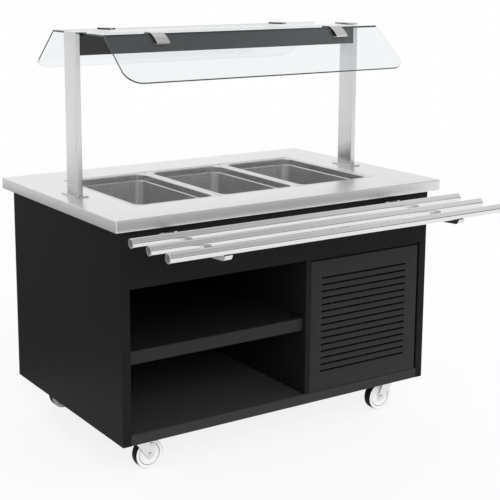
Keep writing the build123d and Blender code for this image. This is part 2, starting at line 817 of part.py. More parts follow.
with BuildPart() as control_housing:
    with BuildSketch(controls_plane):
        RectangleRounded(control_length + 2 * control_bezel, control_height + 2 * control_bezel, control_bezel)
    extrude(amount=-control_sheet)
    block(
        (control_offset - control_length / 2, control_offset + control_length / 2),
        (cabinet_back - control_depth, cabinet_back),
        (control_top - control_height, control_top),
    )
    block(
        (control_offset - control_length / 2 + control_sheet, control_offset + control_length / 2 - control_sheet),
        (cabinet_back - control_depth, cabinet_back),
        (control_top - control_height + control_sheet, control_top - control_sheet),
        mode=Mode.SUBTRACT,
    )
    pocket_x = rocker_width / 2 + rocker_gap
    pocket_z = rocker_radius + rocker_gap
    for x in rocker_xs:
        block(
            (x - pocket_x - pocket_wall, x + pocket_x + pocket_wall),
            (control_face - pocket_depth, cabinet_back),
            (control_z - pocket_z - pocket_wall, control_z + pocket_z + pocket_wall),
        )
        block(
            (x - pocket_x, x + pocket_x),
            (control_face - pocket_depth, control_face),
            (control_z - pocket_z, control_z + pocket_z),
            mode=Mode.SUBTRACT,
        )
        with BuildSketch(rocker_plane(x)):
            Circle(trunnion_radius + running_fit)
        extrude(amount=pocket_x + trunnion_length, both=True, mode=Mode.SUBTRACT)
    with BuildSketch(Plane(origin=(knob_x, control_face, control_z), x_dir=(-1, 0, 0), z_dir=(0, 1, 0))):
        Circle(knob_shaft_radius)
    extrude(amount=knob_height / 2)
finish(control_housing, "control_housing")

for name, x in zip(("cooling_rocker", "lighting_rocker"), rocker_xs):
    with BuildPart() as rocker:
        with BuildSketch(rocker_plane(x)):
            Circle(rocker_radius)
            drop = rocker_radius * tan(radians(rocker_angle))
            Polygon(
                (-rocker_back, -rocker_radius),
                (rocker_apex - drop, -rocker_radius),
                (rocker_apex, 0),
                (rocker_apex - drop, rocker_radius),
                (-rocker_back, rocker_radius),
                rotation=-rocker_angle,
                align=None,
                mode=Mode.INTERSECT,
            )
        extrude(amount=rocker_width / 2, both=True)
        with BuildSketch(rocker_plane(x)):
            Circle(trunnion_radius)
        extrude(amount=rocker_width / 2 + rocker_gap + trunnion_length - 2 * running_fit, both=True)
    finish(rocker, name)

with BuildPart() as thermostat_knob:
    knob_plane = Plane(origin=(knob_x, control_face + knob_gap, control_z), x_dir=(-1, 0, 0), z_dir=(0, 1, 0))
    with BuildSketch(knob_plane):
        Circle(knob_radius)
        with PolarLocations(knob_radius + knob_flute / 2, knob_flutes):
            Circle(knob_flute, mode=Mode.SUBTRACT)
    extrude(amount=knob_height)
    with BuildSketch(knob_plane.offset(knob_height)):
        with Locations((0, knob_radius / 2)):
            Rectangle(knob_flute, knob_pointer)
    extrude(amount=knob_gap)
    with BuildSketch(knob_plane):
        Circle(knob_shaft_radius + running_fit)
    extrude(amount=knob_height / 2, mode=Mode.SUBTRACT)
finish(thermostat_knob, "thermostat_knob")

# ------------------------------------------------------------------------- canopy

for name, side in (("left_post", -1), ("right_post", 1)):
    post_x = side * (post_outer_x + post_inner_x) / 2
    with BuildPart() as post:
        with BuildSketch(Plane.XY.offset(worktop_height + foot_plate)):
            with Locations((post_x, mid_y)):
                RectangleRounded(post_width, post_depth, post_corner)
                Rectangle(post_width - 2 * post_wall, post_depth - 2 * post_wall, mode=Mode.SUBTRACT)
        extrude(amount=canopy_rise - foot_plate)
    finish(post, name)

screw_y = post_depth / 2 + foot_margin / 2
with BuildPart() as post_feet:
    for side in (-1, 1):
        foot_plane = Plane.XY.offset(worktop_height)
        with BuildSketch(foot_plane):
            with Locations((side * (post_outer_x + post_inner_x) / 2, mid_y)):
                RectangleRounded(post_width + 2 * foot_margin, post_depth + 2 * foot_margin, post_corner)
    extrude(amount=foot_plate)
    tops = post_feet.faces().sort_by(Axis.Z)[-2:]
    chamfer(tops[0].edges() + tops[1].edges(), foot_chamfer)
finish(post_feet, "post_feet")

with BuildPart() as post_caps:
    for side in (-1, 1):
        x = sorted((side * post_outer_x, side * (glass_half - cap_lap + glass_end_gap)))
        block(x, (mid_y - post_depth / 2, mid_y + post_depth / 2), (canopy_top, canopy_top + cap_plate))
    fillet(post_caps.edges().filter_by(Axis.Z), post_corner)
finish(post_caps, "post_caps")

# The lamp housing is a channel with inward lips; a clear strip lies on the lips.
with BuildPart() as lamp_housing:
    y = (mid_y - post_depth / 2, mid_y + post_depth / 2)
    block((-post_inner_x, post_inner_x), y, (housing_bottom, housing_top))
    block(
        (-post_inner_x, post_inner_x),
        (y[0] + housing_wall, y[1] - housing_wall),
        (housing_bottom + housing_wall, housing_top - housing_wall),
        mode=Mode.SUBTRACT,
    )
    block(
        (-post_inner_x, post_inner_x),
        (y[0] + housing_wall + housing_lip, y[1] - housing_wall - housing_lip),
        (housing_bottom, housing_bottom + housing_wall),
        mode=Mode.SUBTRACT,
    )
finish(lamp_housing, "lamp_housing")

with BuildPart() as lamp_diffuser:
    diffuser_half = post_depth / 2 - housing_wall - housing_lip / 2
    bottom = housing_bottom + housing_wall
    block(
        (-post_inner_x + diffuser_gap, post_inner_x - diffuser_gap),
        (mid_y - diffuser_half, mid_y + diffuser_half),
        (bottom, bottom + 2 * housing_wall),
    )
    block(
        (-post_inner_x + diffuser_gap, post_inner_x - diffuser_gap),
        (mid_y - diffuser_half + housing_wall, mid_y + diffuser_half - housing_wall),
        (bottom + housing_wall, bottom + 2 * housing_wall),
        mode=Mode.SUBTRACT,
    )
finish(lamp_diffuser, "lamp_diffuser")

lamp_z = housing_bottom + lamp_rise
with BuildPart() as lamp_tube:
    with BuildSketch(Plane(origin=(-post_inner_x + lamp_end_gap, mid_y, lamp_z), z_dir=(1, 0, 0))):
        Circle(lamp_radius)
    extrude(amount=2 * (post_inner_x - lamp_end_gap))
    for side in (-1, 1):
        end = side * (post_inner_x - lamp_end_gap)
        block(
            sorted((end, end + side * lamp_socket)),
            (mid_y - lamp_socket / 2, mid_y + lamp_socket / 2),
            (lamp_z - lamp_radius, housing_top - housing_wall),
        )
finish(lamp_tube, "lamp_tube")

with BuildPart() as glass_gasket:
    block(
        (-glass_half, glass_half),
        (mid_y - post_depth / 2, mid_y + post_depth / 2),
        (housing_top, glass_under),
    )
finish(glass_gasket, "glass_gasket")

# The clamp screws pass through the glass in oversize holes.
clamp_xs = (-glass_half + clamp_inset, glass_half - clamp_inset)
top_screw_y = top_glass_depth / 2 - clamp_screw_inset
with BuildPart() as top_glass:
    with BuildSketch(Plane.XY.offset(glass_under)):
        with Locations((0, mid_y)):
            Rectangle(2 * glass_half, top_glass_depth)
            with Locations(*[(x, side * top_screw_y) for x in clamp_xs for side in (-1, 1)]):
                Circle(clamp_hole_radius, mode=Mode.SUBTRACT)
    extrude(amount=glass)
finish(top_glass, "top_glass")


def slope_plane(side):
    """The upper face of a sloping pane: x along the pane, y up the slope, z out of the glass.

    side is -1 at the customer's side and +1 at the back. The origin is at the pane's upper edge.
    """
    edge_y = top_glass_depth / 2 + glass_joint + glass * sin(slope)
    edge_z = canopy_top - glass + glass * cos(slope) + glass_joint
    return Plane(
        origin=(0, mid_y + side * edge_y, edge_z),
        x_dir=(-side, 0, 0),
        z_dir=(0, side * sin(slope), cos(slope)),
    )


for name, side in (("front_glass", -1), ("back_glass", 1)):
    with BuildPart() as side_glass:
        with BuildSketch(slope_plane(side)):
            with Locations((0, -side_glass_length / 2)):
                pane = Rectangle(2 * glass_half, side_glass_length)
            fillet(pane.vertices().group_by(Axis.Y)[0], side_glass_corner)
            with Locations(*[(-side * x, -clamp_screw_inset) for x in clamp_xs]):
                Circle(clamp_hole_radius, mode=Mode.SUBTRACT)
        extrude(amount=-glass)
    finish(side_glass, name)


def bend(height, depth):
    """Distance from the middle and height of the bend in a strap that lies on both panes.

    height is that of its level face, and depth is how far its sloping face lies below the outer
    face of the sloping pane.
    """
    origin = slope_plane(1).origin
    y = origin.Y - mid_y - depth * sin(slope)
    z = origin.Z - depth * cos(slope)
    return y + (z - height) / tan(slope), height


def strap_profile(side, near, far, level_leg, slope_leg, hook):
    """Outline of a bent strap across a joint, in the plane x = 0, as points.

    near and far are the (height, depth) pairs of the face on the glass and of the free face.
    """
    down = Vector(0, side * cos(slope), -sin(slope))
    out = Vector(0, side * sin(slope), cos(slope)) * hook
    points = []
    for height, depth in (near, far):
        y, z = bend(height, depth)
        corner = Vector(0, mid_y + side * y, z)
        end = top_glass_depth / 2 - level_leg
        points.append((Vector(0, mid_y + side * end, z), corner, corner + down * slope_leg))
    (a, b, c), (d, e, f) = points
    if hook:
        return [a, b, c, c + out, c + out - down * clamp_sheet, f - down * clamp_sheet, e, d]
    return [a, b, c, f, e, d]


def clamp_screw_planes(x):
    """Planes on the four screw positions of the two clamps at x, z out of the glass."""
    planes = []
    for side in (-1, 1):
        planes.append(Plane(origin=(x, mid_y + side * top_screw_y, canopy_top), z_dir=(0, 0, 1)))
        tilted = slope_plane(side)
        planes.append(
            Plane(
                origin=tilted.from_local_coords(Vector(-side * x, -clamp_screw_inset, 0)),
                x_dir=tilted.x_dir,
                z_dir=tilted.z_dir,
            )
        )
    return planes


# Each clamp is a hooked strap on the outside and a backing strap inside.
with BuildPart() as glass_clamps:
    for side in (-1, 1):
        outer_near = (canopy_top, 0)
        outer_far = (canopy_top + clamp_sheet, -clamp_sheet)
        inner_near = (glass_under, glass)
        inner_far = (glass_under - clamp_sheet, glass + clamp_sheet)
        outlines = (
            strap_profile(side, outer_near, outer_far, clamp_leg_top, clamp_leg_side, clamp_hook),
            strap_profile(side, inner_near, inner_far, backing_leg, backing_leg, 0),
        )
        for x in clamp_xs:
            for outline in outlines:
                with BuildSketch(Plane(origin=(x, 0, 0), x_dir=(0, 1, 0), z_dir=(1, 0, 0))) as profile:
                    with BuildLine():
                        Polyline(*[(p.Y, p.Z) for p in outline], close=True)
                    make_face()
                extrude(amount=clamp_width / 2, both=True)
    upper = [e for e in glass_clamps.edges().filter_by(Axis.Z) if e.center().Z > canopy_top]
    fillet(upper, clamp_corner)
    for x in clamp_xs:
        for plane in clamp_screw_planes(x):
            with Locations(plane.offset(clamp_sheet)):
                CounterSinkHole(clamp_screw_radius + running_fit, clamp_screw_head, depth=glass + 3 * clamp_sheet)
finish(glass_clamps, "glass_clamps")

with BuildPart() as clamp_screws:
    for x in clamp_xs:
        for plane in clamp_screw_planes(x):
            head = clamp_screw_head - clamp_screw_radius
            with BuildSketch(plane.offset(clamp_sheet)):
                Circle(clamp_screw_radius)
            extrude(amount=-(glass + 2 * clamp_sheet + clamp_nut_height))
            with BuildSketch(plane.offset(clamp_sheet)):
                Circle(clamp_screw_head - running_fit)
            with BuildSketch(plane.offset(clamp_sheet - head)):
                Circle(clamp_screw_radius)
            loft()
            with BuildSketch(plane.offset(-glass - clamp_sheet)):
                RegularPolygon(clamp_screw_head, 6)
            extrude(amount=-clamp_nut_height)
finish(clamp_screws, "clamp_screws")

# ------------------------------------------------------------------------- tray slide


def side_sketch_plane(x):
    """A plane across the tray slide at x: its x is +Y and its y is +Z."""
    return Plane(origin=(x, 0, 0), x_dir=(0, 1, 0), z_dir=(1, 0, 0))


cheek_inner = arm_width / 2 + cheek_gap
cheek_outer = cheek_inner + cheek_sheet
with BuildPart() as tray_brackets:
    for x in arm_centres:
        with BuildSketch(side_sketch_plane(x)):
            with Locations((pivot_y, pivot_z)):
                Circle(pivot_eye)
            with Locations((cabinet_front - bracket_plate / 2, pivot_z - bracket_height / 2 + pivot_eye)):
                Rectangle(bracket_plate, bracket_height)
            make_hull()
            with Locations((pivot_y, pivot_z)):
                Circle(pin_radius + seat_fit, mode=Mode.SUBTRACT)
        extrude(amount=cheek_outer, both=True)
        block(
            (x - cheek_inner, x + cheek_inner),
            (pivot_y - 2 * pivot_eye, cabinet_front - bracket_plate),
            (pivot_z - bracket_height, pivot_z + 2 * pivot_eye),
            mode=Mode.SUBTRACT,
        )
        block(
            (x - cheek_outer - bracket_flange, x + cheek_outer + bracket_flange),
            (cabinet_front - bracket_plate, cabinet_front),
            (pivot_z - bracket_height + pivot_eye, pivot_z + pivot_eye),
        )
finish(tray_brackets, "tray_brackets")

with BuildPart() as tray_hinge_pins:
    for x in arm_centres:
        with BuildSketch(Plane(origin=(x - cheek_outer, pivot_y, pivot_z), z_dir=(1, 0, 0))):
            Circle(pin_radius)
        extrude(amount=2 * cheek_outer)
        for start in (x - cheek_outer - pin_head, x + cheek_outer):
            with BuildSketch(Plane(origin=(start, pivot_y, pivot_z), z_dir=(1, 0, 0))):
                Circle(pin_head_radius)
            extrude(amount=pin_head)
finish(tray_hinge_pins, "tray_hinge_pins")

with BuildPart() as tray_arms:
    for x in arm_centres:
        with BuildSketch(side_sketch_plane(x)):
            with BuildLine():
                Polyline(
                    (arm_rear_y, arm_top),
                    (arm_front_y, arm_top),
                    (arm_front_y, arm_top - arm_nose),
                    (arm_front_y + arm_toe_setback, arm_top - arm_toe),
                    (arm_rear_y, arm_top - arm_heel),
                    close=True,
                )
            outline = make_face()
            heel = outline.vertices().sort_by_distance((arm_rear_y, arm_top - arm_heel))[0]
            toe = outline.vertices().sort_by_distance((arm_front_y + arm_toe_setback, arm_top - arm_toe))[0]
            fillet([heel, toe], arm_nose_radius)
        extrude(amount=arm_width / 2, both=True)
        # Open below: the web carries the rails and the two flanges stiffen it.
        block(
            (x - arm_width / 2 + arm_sheet, x + arm_width / 2 - arm_sheet),
            (arm_front_y - arm_sheet, arm_rear_y + arm_sheet),
            (arm_top - 2 * arm_heel, arm_top - arm_sheet),
            mode=Mode.SUBTRACT,
        )
        with Locations(Plane(origin=(x, pivot_y, pivot_z), z_dir=(1, 0, 0))):
            Cylinder(pin_radius + running_fit, 2 * arm_width, mode=Mode.SUBTRACT)
finish(tray_arms, "tray_arms")

# Three tubes, each closed by a plugged disc at both ends.
with BuildPart() as tray_rails:
    for i in range(rail_count):
        rail_y = front_y - rail_gap - i * rail_pitch
        end_plane = Plane(origin=(-worktop_length / 2, rail_y, rail_z), z_dir=(1, 0, 0))
        with BuildSketch(end_plane):
            Circle(rail_radius)
        extrude(amount=worktop_length)
        with BuildSketch(end_plane.offset(cap_disc + cap_plug)):
            Circle(rail_radius - rail_wall)
        extrude(amount=worktop_length - 2 * (cap_disc + cap_plug), mode=Mode.SUBTRACT)
    ends = tray_rails.faces().filter_by(Axis.X).group_by(Axis.X)
    fillet(ends[0].edges() + ends[-1].edges(), cap_edge)
finish(tray_rails, "tray_rails")

# ------------------------------------------------------------------------- castors

race_bottom = castor_height - castor_plate - race_height
crown_top = race_bottom - race_gap
crown_bottom = crown_top - crown_height
castor_places = {
    "front_left": (-1, -1, front_left_turn),
    "front_right": (1, -1, front_right_turn),
    "back_left": (-1, 1, back_left_turn),
    "back_right": (1, 1, back_right_turn),
}


def castor_frame(across, along, turn):
    """A castor's own frame on the floor: x along its trail and z up its swivel axis."""
    x = across * (cabinet_x - castor_inset)
    y = cabinet_front + castor_setback if along < 0 else cabinet_back - castor_setback
    return Plane(origin=(x, y, 0), x_dir=(cos(radians(turn)), sin(radians(turn)), 0), z_dir=(0, 0, 1))


def ring_on(plane, radius, height):
    """A disc of the given radius on a plane, in the active part."""
    with BuildSketch(plane) as disc:
        Circle(radius)
    extrude(disc.sketch, amount=height)


with BuildPart() as castor_plates:
    for across, along, turn in castor_places.values():
        frame = castor_frame(across, along, turn)
        with BuildSketch(frame.offset(castor_height - castor_plate)):
            RectangleRounded(castor_plate_length, castor_plate_width, castor_plate_corner)
        extrude(amount=castor_plate)
        with BuildSketch(frame.offset(castor_height - castor_plate)):
            with GridLocations(bolt_spacing_x, bolt_spacing_y, 2, 2):
                RegularPolygon(bolt_head_radius, 6)
        extrude(amount=-bolt_head)
        ring_on(frame.offset(race_bottom), race_radius, race_height)
        ring_on(frame.offset(crown_bottom), kingpin_radius, crown_height + race_gap)
        ring_on(frame.offset(crown_bottom - race_gap), kingpin_head_radius, -kingpin_head)
        ring_on(frame.offset(crown_bottom - race_gap), kingpin_radius, race_gap)
finish(castor_plates, "castor_plates")


def make_fork(frame):
    """A pressed fork: crown, two legs and the axle bolt, as two solids."""
    middle = Plane(origin=frame.origin, x_dir=frame.x_dir, z_dir=-frame.y_dir)
    with BuildPart() as fork:
        with BuildSketch(middle.offset(fork_gap / 2)):
            with Locations((castor_trail, wheel_radius)):
                Circle(fork_eye)
            with Locations(((fork_front - fork_back) / 2, crown_bottom + fork_shoulder / 2)):
                Rectangle(fork_front + fork_back, fork_shoulder)
            make_hull()
            with Locations((castor_trail, wheel_radius)):
                Circle(axle_radius + seat_fit, mode=Mode.SUBTRACT)
        extrude(amount=fork_sheet)
        mirror(about=middle)
        with BuildSketch(frame.offset(crown_bottom)):
            with Locations(((fork_front - fork_back) / 2, 0)):
                Rectangle(fork_front + fork_back, fork_gap + 2 * fork_sheet)
        extrude(amount=fork_sheet)
        ring_on(frame.offset(crown_bottom), crown_radius, crown_height)
        with BuildSketch(frame.offset(crown_bottom)):
            Circle(kingpin_radius + running_fit)
        extrude(amount=crown_height, mode=Mode.SUBTRACT)
        bolt_plane = Plane(
            origin=frame.origin + frame.x_dir * castor_trail + frame.z_dir * wheel_radius,
            x_dir=frame.x_dir,
            z_dir=-frame.y_dir,
        )
        half = fork_gap / 2 + fork_sheet
        ring_on(bolt_plane.offset(-half), axle_radius, 2 * half)
        ring_on(bolt_plane.offset(half), axle_head_radius, axle_head)
        ring_on(bolt_plane.offset(-half), axle_head_radius, -axle_head)
    return fork


def wheel_section(frame):
    """The plane of a wheel's half-section: x along the axle, y outwards from it."""
    hub = frame.origin + frame.x_dir * castor_trail + frame.z_dir * wheel_radius
    return Plane(origin=hub, x_dir=frame.y_dir, z_dir=frame.x_dir)


def make_wheel(frame):
    """A wheel of rim, web and hub, with a groove in each face."""
    section = wheel_section(frame)
    rim_outer = wheel_radius - tyre_thickness
    rim_inner = rim_outer - rim_thickness
    with BuildPart() as wheel:
        with BuildSketch(section):
            half_points = [
                (hub_width / 2, axle_radius + running_fit),
                (hub_width / 2, hub_radius),
                (web_width / 2 - groove_depth / 2, hub_radius + hub_flare),
                (web_width / 2 - groove_depth / 2, web_recess_radius),
                (web_width / 2, web_recess_radius + hub_flare),
                (web_width / 2, rim_inner - groove_width),
                (web_width / 2 - groove_depth, rim_inner - groove_width),
                (web_width / 2 - groove_depth, rim_inner),
                (rim_width / 2, rim_inner),
                (rim_width / 2, rim_outer),
            ]
            with BuildLine():
                Polyline(*half_points, *[(-x, y) for x, y in reversed(half_points)], close=True)
            make_face()
        revolve(axis=Axis(section.origin, section.x_dir))
    return wheel


def make_tyre(frame):
    """A band of rubber round the rim, with rounded shoulders."""
    section = wheel_section(frame)
    with BuildPart() as tyre:
        with BuildSketch(section):
            with Locations((0, wheel_radius - tyre_thickness / 2)):
                band = Rectangle(tyre_width, tyre_thickness)
            fillet(band.vertices().group_by(Axis.Y)[-1], tyre_shoulder)
        revolve(axis=Axis(section.origin, section.x_dir))
    return tyre


for name, place in castor_places.items():
    frame = castor_frame(*place)
    finish(make_fork(frame), f"{name}_fork")
    finish(make_wheel(frame), f"{name}_wheel")
    finish(make_tyre(frame), f"{name}_tyre")
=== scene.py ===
"""Looks of a mobile refrigerated salad bar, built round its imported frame.

Metres. +X is the customer's right, +Y is away from the customer and +Z is up. Each sub-assembly is
a class that reads its places from the frame's boxes, builds finer surfaces where the frame's are
coarse and dresses every part of it in its own finish.
"""

import logging
from dataclasses import dataclass
from enum import Enum
from math import atan2, cos, pi, radians, sin, tan
from typing import Any, Protocol, Sequence

import bmesh
import bpy
import numpy as np
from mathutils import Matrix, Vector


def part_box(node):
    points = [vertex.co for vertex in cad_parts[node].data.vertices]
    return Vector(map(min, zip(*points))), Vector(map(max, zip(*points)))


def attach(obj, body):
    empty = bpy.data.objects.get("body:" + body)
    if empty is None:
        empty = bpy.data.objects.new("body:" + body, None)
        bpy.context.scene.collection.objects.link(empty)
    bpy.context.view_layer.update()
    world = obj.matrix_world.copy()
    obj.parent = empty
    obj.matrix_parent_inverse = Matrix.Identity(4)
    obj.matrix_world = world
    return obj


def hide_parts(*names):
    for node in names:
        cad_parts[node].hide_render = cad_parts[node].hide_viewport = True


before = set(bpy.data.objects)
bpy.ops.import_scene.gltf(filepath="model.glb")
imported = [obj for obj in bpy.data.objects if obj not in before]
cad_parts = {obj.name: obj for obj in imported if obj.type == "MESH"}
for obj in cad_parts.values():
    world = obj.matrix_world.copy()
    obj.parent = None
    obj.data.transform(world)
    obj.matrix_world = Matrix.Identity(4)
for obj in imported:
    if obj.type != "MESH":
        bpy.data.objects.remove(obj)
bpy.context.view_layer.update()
log = logging.getLogger("salad_bar")

Array = np.ndarray
Colour = tuple[float, float, float, float]
Triple = tuple[float, float, float]
Span = tuple[float, float]  # where a smooth step begins and where it ends

MM = 0.001
ARC_STEPS = 10  # points on a rounded corner
FOLD_STEPS = 6  # points on a small quarter round
TURN_STEPS = 96  # points round a tube or wheel
MERGE = 1e-6  # points nearer than this are one
NO_LENGTH = 1e-12  # keeps a run of no length from dividing by 0
LEAST_COSINE = 0.2  # of half a corner's turn, so that a sharp mitre stays short


class Axis(Enum):
    """A direction of the frame."""

    X = 0
    Y = 1
    Z = 2


# ----------------------------------------------------------------------------- shader maths


class Value:
    """An output of a shader node. Python's operators on it add Math nodes."""

    def __init__(self, shader: "Shader", socket: bpy.types.NodeSocket) -> None:
        """Keeps the socket and the tree that it is in."""
        self.shader = shader
        self.socket = socket

    def _math(self, operation: str, first: Any, second: Any) -> "Value":
        """One Math node on two values."""
        return self.shader.node("ShaderNodeMath", {"operation": operation}, {0: first, 1: second})

    def __add__(self, other: Any) -> "Value":
        """self + other"""
        return self._math("ADD", self, other)

    __radd__ = __add__

    def __sub__(self, other: Any) -> "Value":
        """self - other"""
        return self._math("SUBTRACT", self, other)

    def __rsub__(self, other: Any) -> "Value":
        """other - self"""
        return self._math("SUBTRACT", other, self)

    def __mul__(self, other: Any) -> "Value":
        """self * other"""
        return self._math("MULTIPLY", self, other)

    __rmul__ = __mul__

    def __pow__(self, other: Any) -> "Value":
        """self ** other"""
        return self._math("POWER", self, other)

    def max(self, other: Any) -> "Value":
        """The larger of the two."""
        return self._math("MAXIMUM", self, other)

    def blend(self, other: "Value", share: float) -> "Value":
        """A share of this value and the rest of the other."""
        return self * share + other * (1 - share)

    def smooth(self, low: float, high: float) -> "Value":
        """0 below low, 1 above high and a smooth step between."""
        sockets = {"Value": self, "From Min": low, "From Max": high}
        return self.shader.node("ShaderNodeMapRange", {"interpolation_type": "SMOOTHSTEP"}, sockets)


class Shader:
    """A node tree that is filled by expressions."""

    def __init__(self, tree: bpy.types.NodeTree) -> None:
        """Starts from an empty tree."""
        self.tree = tree
        tree.nodes.clear()

    def node(
        self,
        kind: str,
        settings: dict[str, Any] | None = None,
        sockets: dict[Any, Any] | None = None,
        output: str | int = 0,
    ) -> Value:
        """Adds one node.

        Args:
            kind: The node's type.
            settings: Its settings, set before its sockets.
            sockets: Values or links of its input sockets, by name or number.
            output: Name or number of the output to return.

        Returns:
            The chosen output.
        """
        node = self.tree.nodes.new(kind)
        for name, setting in (settings or {}).items():
            setattr(node, name, setting)
        for name, value in (sockets or {}).items():
            if isinstance(value, Value):
                self.tree.links.new(value.socket, node.inputs[name])
            else:
                node.inputs[name].default_value = value
        return Value(self, node.outputs[output])

    def place(self, stretch: Sequence[float] = (1.0, 1.0, 1.0)) -> Value:
        """Object coordinates, multiplied by a stretch along each axis."""
        sockets = {0: self.node("ShaderNodeTexCoord", output="Object"), 1: tuple(stretch)}
        return self.node("ShaderNodeVectorMath", {"operation": "MULTIPLY"}, sockets)

    def noise(self, at: Value, scale: float, detail: float, rough: float = 0.5) -> Value:
        """Soft noise from 0 to 1 at some coordinates."""
        sockets = {"Vector": at, "Scale": scale, "Detail": detail, "Roughness": rough}
        return self.node("ShaderNodeTexNoise", {}, sockets)

    def cells(self, at: Value, width: float, feature: str = "F1") -> Value:
        """Distance from the middle of the nearest of many cells, in cell widths."""
        sockets = {"Vector": at, "Scale": 1 / width}
        return self.node("ShaderNodeTexVoronoi", {"feature": feature}, sockets, "Distance")

    def mix(self, share: Any, first: Any, second: Any) -> Value:
        """The first colour, turning into the second as share goes from 0 to 1."""
        sockets = {0: share, 6: first, 7: second}
        return self.node("ShaderNodeMix", {"data_type": "RGBA"}, sockets, output=2)

    def mix_shaders(self, share: Any, first: Value, second: Value) -> Value:
        """The first shader, turning into the second as share goes from 0 to 1."""
        return self.node("ShaderNodeMixShader", {}, {0: share, 1: first, 2: second})

    def dot(self, first: Value, second: Triple) -> Value:
        """How far a vector reaches along a direction."""
        sockets = {0: first, 1: second}
        return self.node("ShaderNodeVectorMath", {"operation": "DOT_PRODUCT"}, sockets, "Value")

    def bump(self, height: Value, depth: float, strength: float) -> Value:
        """A normal from a height of 0 to 1 that stands for depth in metres."""
        sockets = {"Height": height, "Distance": depth, "Strength": strength}
        return self.node("ShaderNodeBump", {}, sockets)

    def principled(self, **sockets: Any) -> Value:
        """The main surface shader. Underscores in names stand for spaces."""
        named = {name.replace("_", " "): value for name, value in sockets.items()}
        return self.node("ShaderNodeBsdfPrincipled", {}, named)

    def show(self, surface: Value, kind: str = "ShaderNodeOutputMaterial") -> None:
        """Links a shader to the tree's output."""
        end = self.tree.nodes.new(kind)
        self.tree.links.new(surface.socket, end.inputs["Surface"])


def grey(level: float) -> Colour:
    """A neutral colour of a linear level."""
    return (level, level, level, 1.0)


def tint(red: float, green: float, blue: float) -> Colour:
    """A linear colour."""
    return (red, green, blue, 1.0)


def scaled(colour: Colour, red: float, green: float, blue: float) -> Colour:
    """A colour with each channel multiplied by its own share."""
    return tint(colour[0] * red, colour[1] * green, colour[2] * blue)


# ----------------------------------------------------------------------------- finishes


@dataclass(frozen=True)
class Finish:
    """A surface finish: a name and the shader that shows it."""

    name: str

    def surface(self, shader: Shader) -> Value:
        """The finish's surface shader, added to a tree."""
        raise NotImplementedError

    def material(self) -> bpy.types.Material:
        """The finish as a material, made once.

        Returns:
            The material of the finish's name.
        """
        made = bpy.data.materials.get(self.name)
        if made is None:
            made = bpy.data.materials.new(self.name)
            made.use_nodes = True
            shader = Shader(made.node_tree)
            shader.show(self.surface(shader))
        return made


@dataclass(frozen=True)
class BrushedSteel(Finish):
    """Stainless steel with a grain along one axis."""

    grain: Axis = Axis.X
    tone: float = 0.62
    roughness: float = 0.3
    depth: float = 0.00002
    grain_pitch: float = 0.0006
    grain_stretch: float = 120.0
    valley: float = 0.86  # a dark streak's share of the tone
    band_width: float = 12.5  # in grain pitches
    smudge_scale: float = 7.0

    def surface(self, shader: Shader) -> Value:
        """Long streaks in colour, roughness and height, with faint smudges over them.

        Args:
            shader: The tree to add to.

        Returns:
            The surface shader.
        """
        stretch = [1.0, 1.0, 1.0]
        stretch[self.grain.value] = 1.0 / self.grain_stretch
        along = shader.place(stretch)
        streak = shader.noise(along, 1.0 / self.grain_pitch, 3.0, 0.6)
        band = shader.noise(along, 1.0 / (self.band_width * self.grain_pitch), 2.0)
        smudge = shader.noise(shader.place(), self.smudge_scale, 4.0, 0.6)
        crest = scaled(grey(self.tone), 1.0, 1.005, 1.015)
        colour = shader.mix(streak.blend(band, 0.7), grey(self.tone * self.valley), crest)
        rough = self.roughness - 0.05 + 0.08 * streak + 0.06 * smudge
        normal = shader.bump(streak, self.depth, 0.6)
        return shader.principled(Base_Color=colour, Metallic=1.0, Roughness=rough, Normal=normal)


@dataclass(frozen=True)
class SatinBoard(Finish):
    """Black laminate-faced board with a fine pearl texture."""

    colour: Colour = grey(0.0125)
    roughness: float = 0.42
    pearl: float = 0.0011
    depth: float = 0.00003
    cloud_scale: float = 5.0
    sheen: float = 0.03

    def surface(self, shader: Shader) -> Value:
        """A pebbled skin, a little lighter on its crests, with wide soft variation.

        Args:
            shader: The tree to add to.

        Returns:
            The surface shader.
        """
        at = shader.place()
        pebble = shader.noise(at, 1.0 / self.pearl, 2.0)
        cloud = shader.noise(at, self.cloud_scale, 3.0)
        crest = scaled(self.colour, 1.25, 1.25, 1.27)
        return shader.principled(
            Base_Color=shader.mix(pebble.blend(cloud, 0.6), self.colour, crest),
            Roughness=self.roughness + 0.06 * (cloud - 0.5) + 0.05 * (pebble - 0.5),
            Normal=shader.bump(pebble, self.depth, 0.5),
            Specular_IOR_Level=self.sheen,
        )


@dataclass(frozen=True)
class PowderCoat(Finish):
    """Powder-coated sheet with an orange-peel skin."""

    colour: Colour = grey(0.010)
    roughness: float = 0.48
    peel: float = 0.0016
    depth: float = 0.000015
    cloud_scale: float = 9.0
    sheen: float = 0.25

    def surface(self, shader: Shader) -> Value:
        """Round low bumps and a slight change of sheen.

        Args:
            shader: The tree to add to.

        Returns:
            The surface shader.
        """
        at = shader.place()
        peel = shader.cells(at, self.peel, "SMOOTH_F1")
        cloud = shader.noise(at, self.cloud_scale, 3.0)
        return shader.principled(
            Base_Color=shader.mix(cloud, self.colour, scaled(self.colour, 1.3, 1.3, 1.3)),
            Roughness=self.roughness + 0.08 * (cloud - 0.5),
            Normal=shader.bump(peel, self.depth, 0.4),
            Specular_IOR_Level=self.sheen,
        )


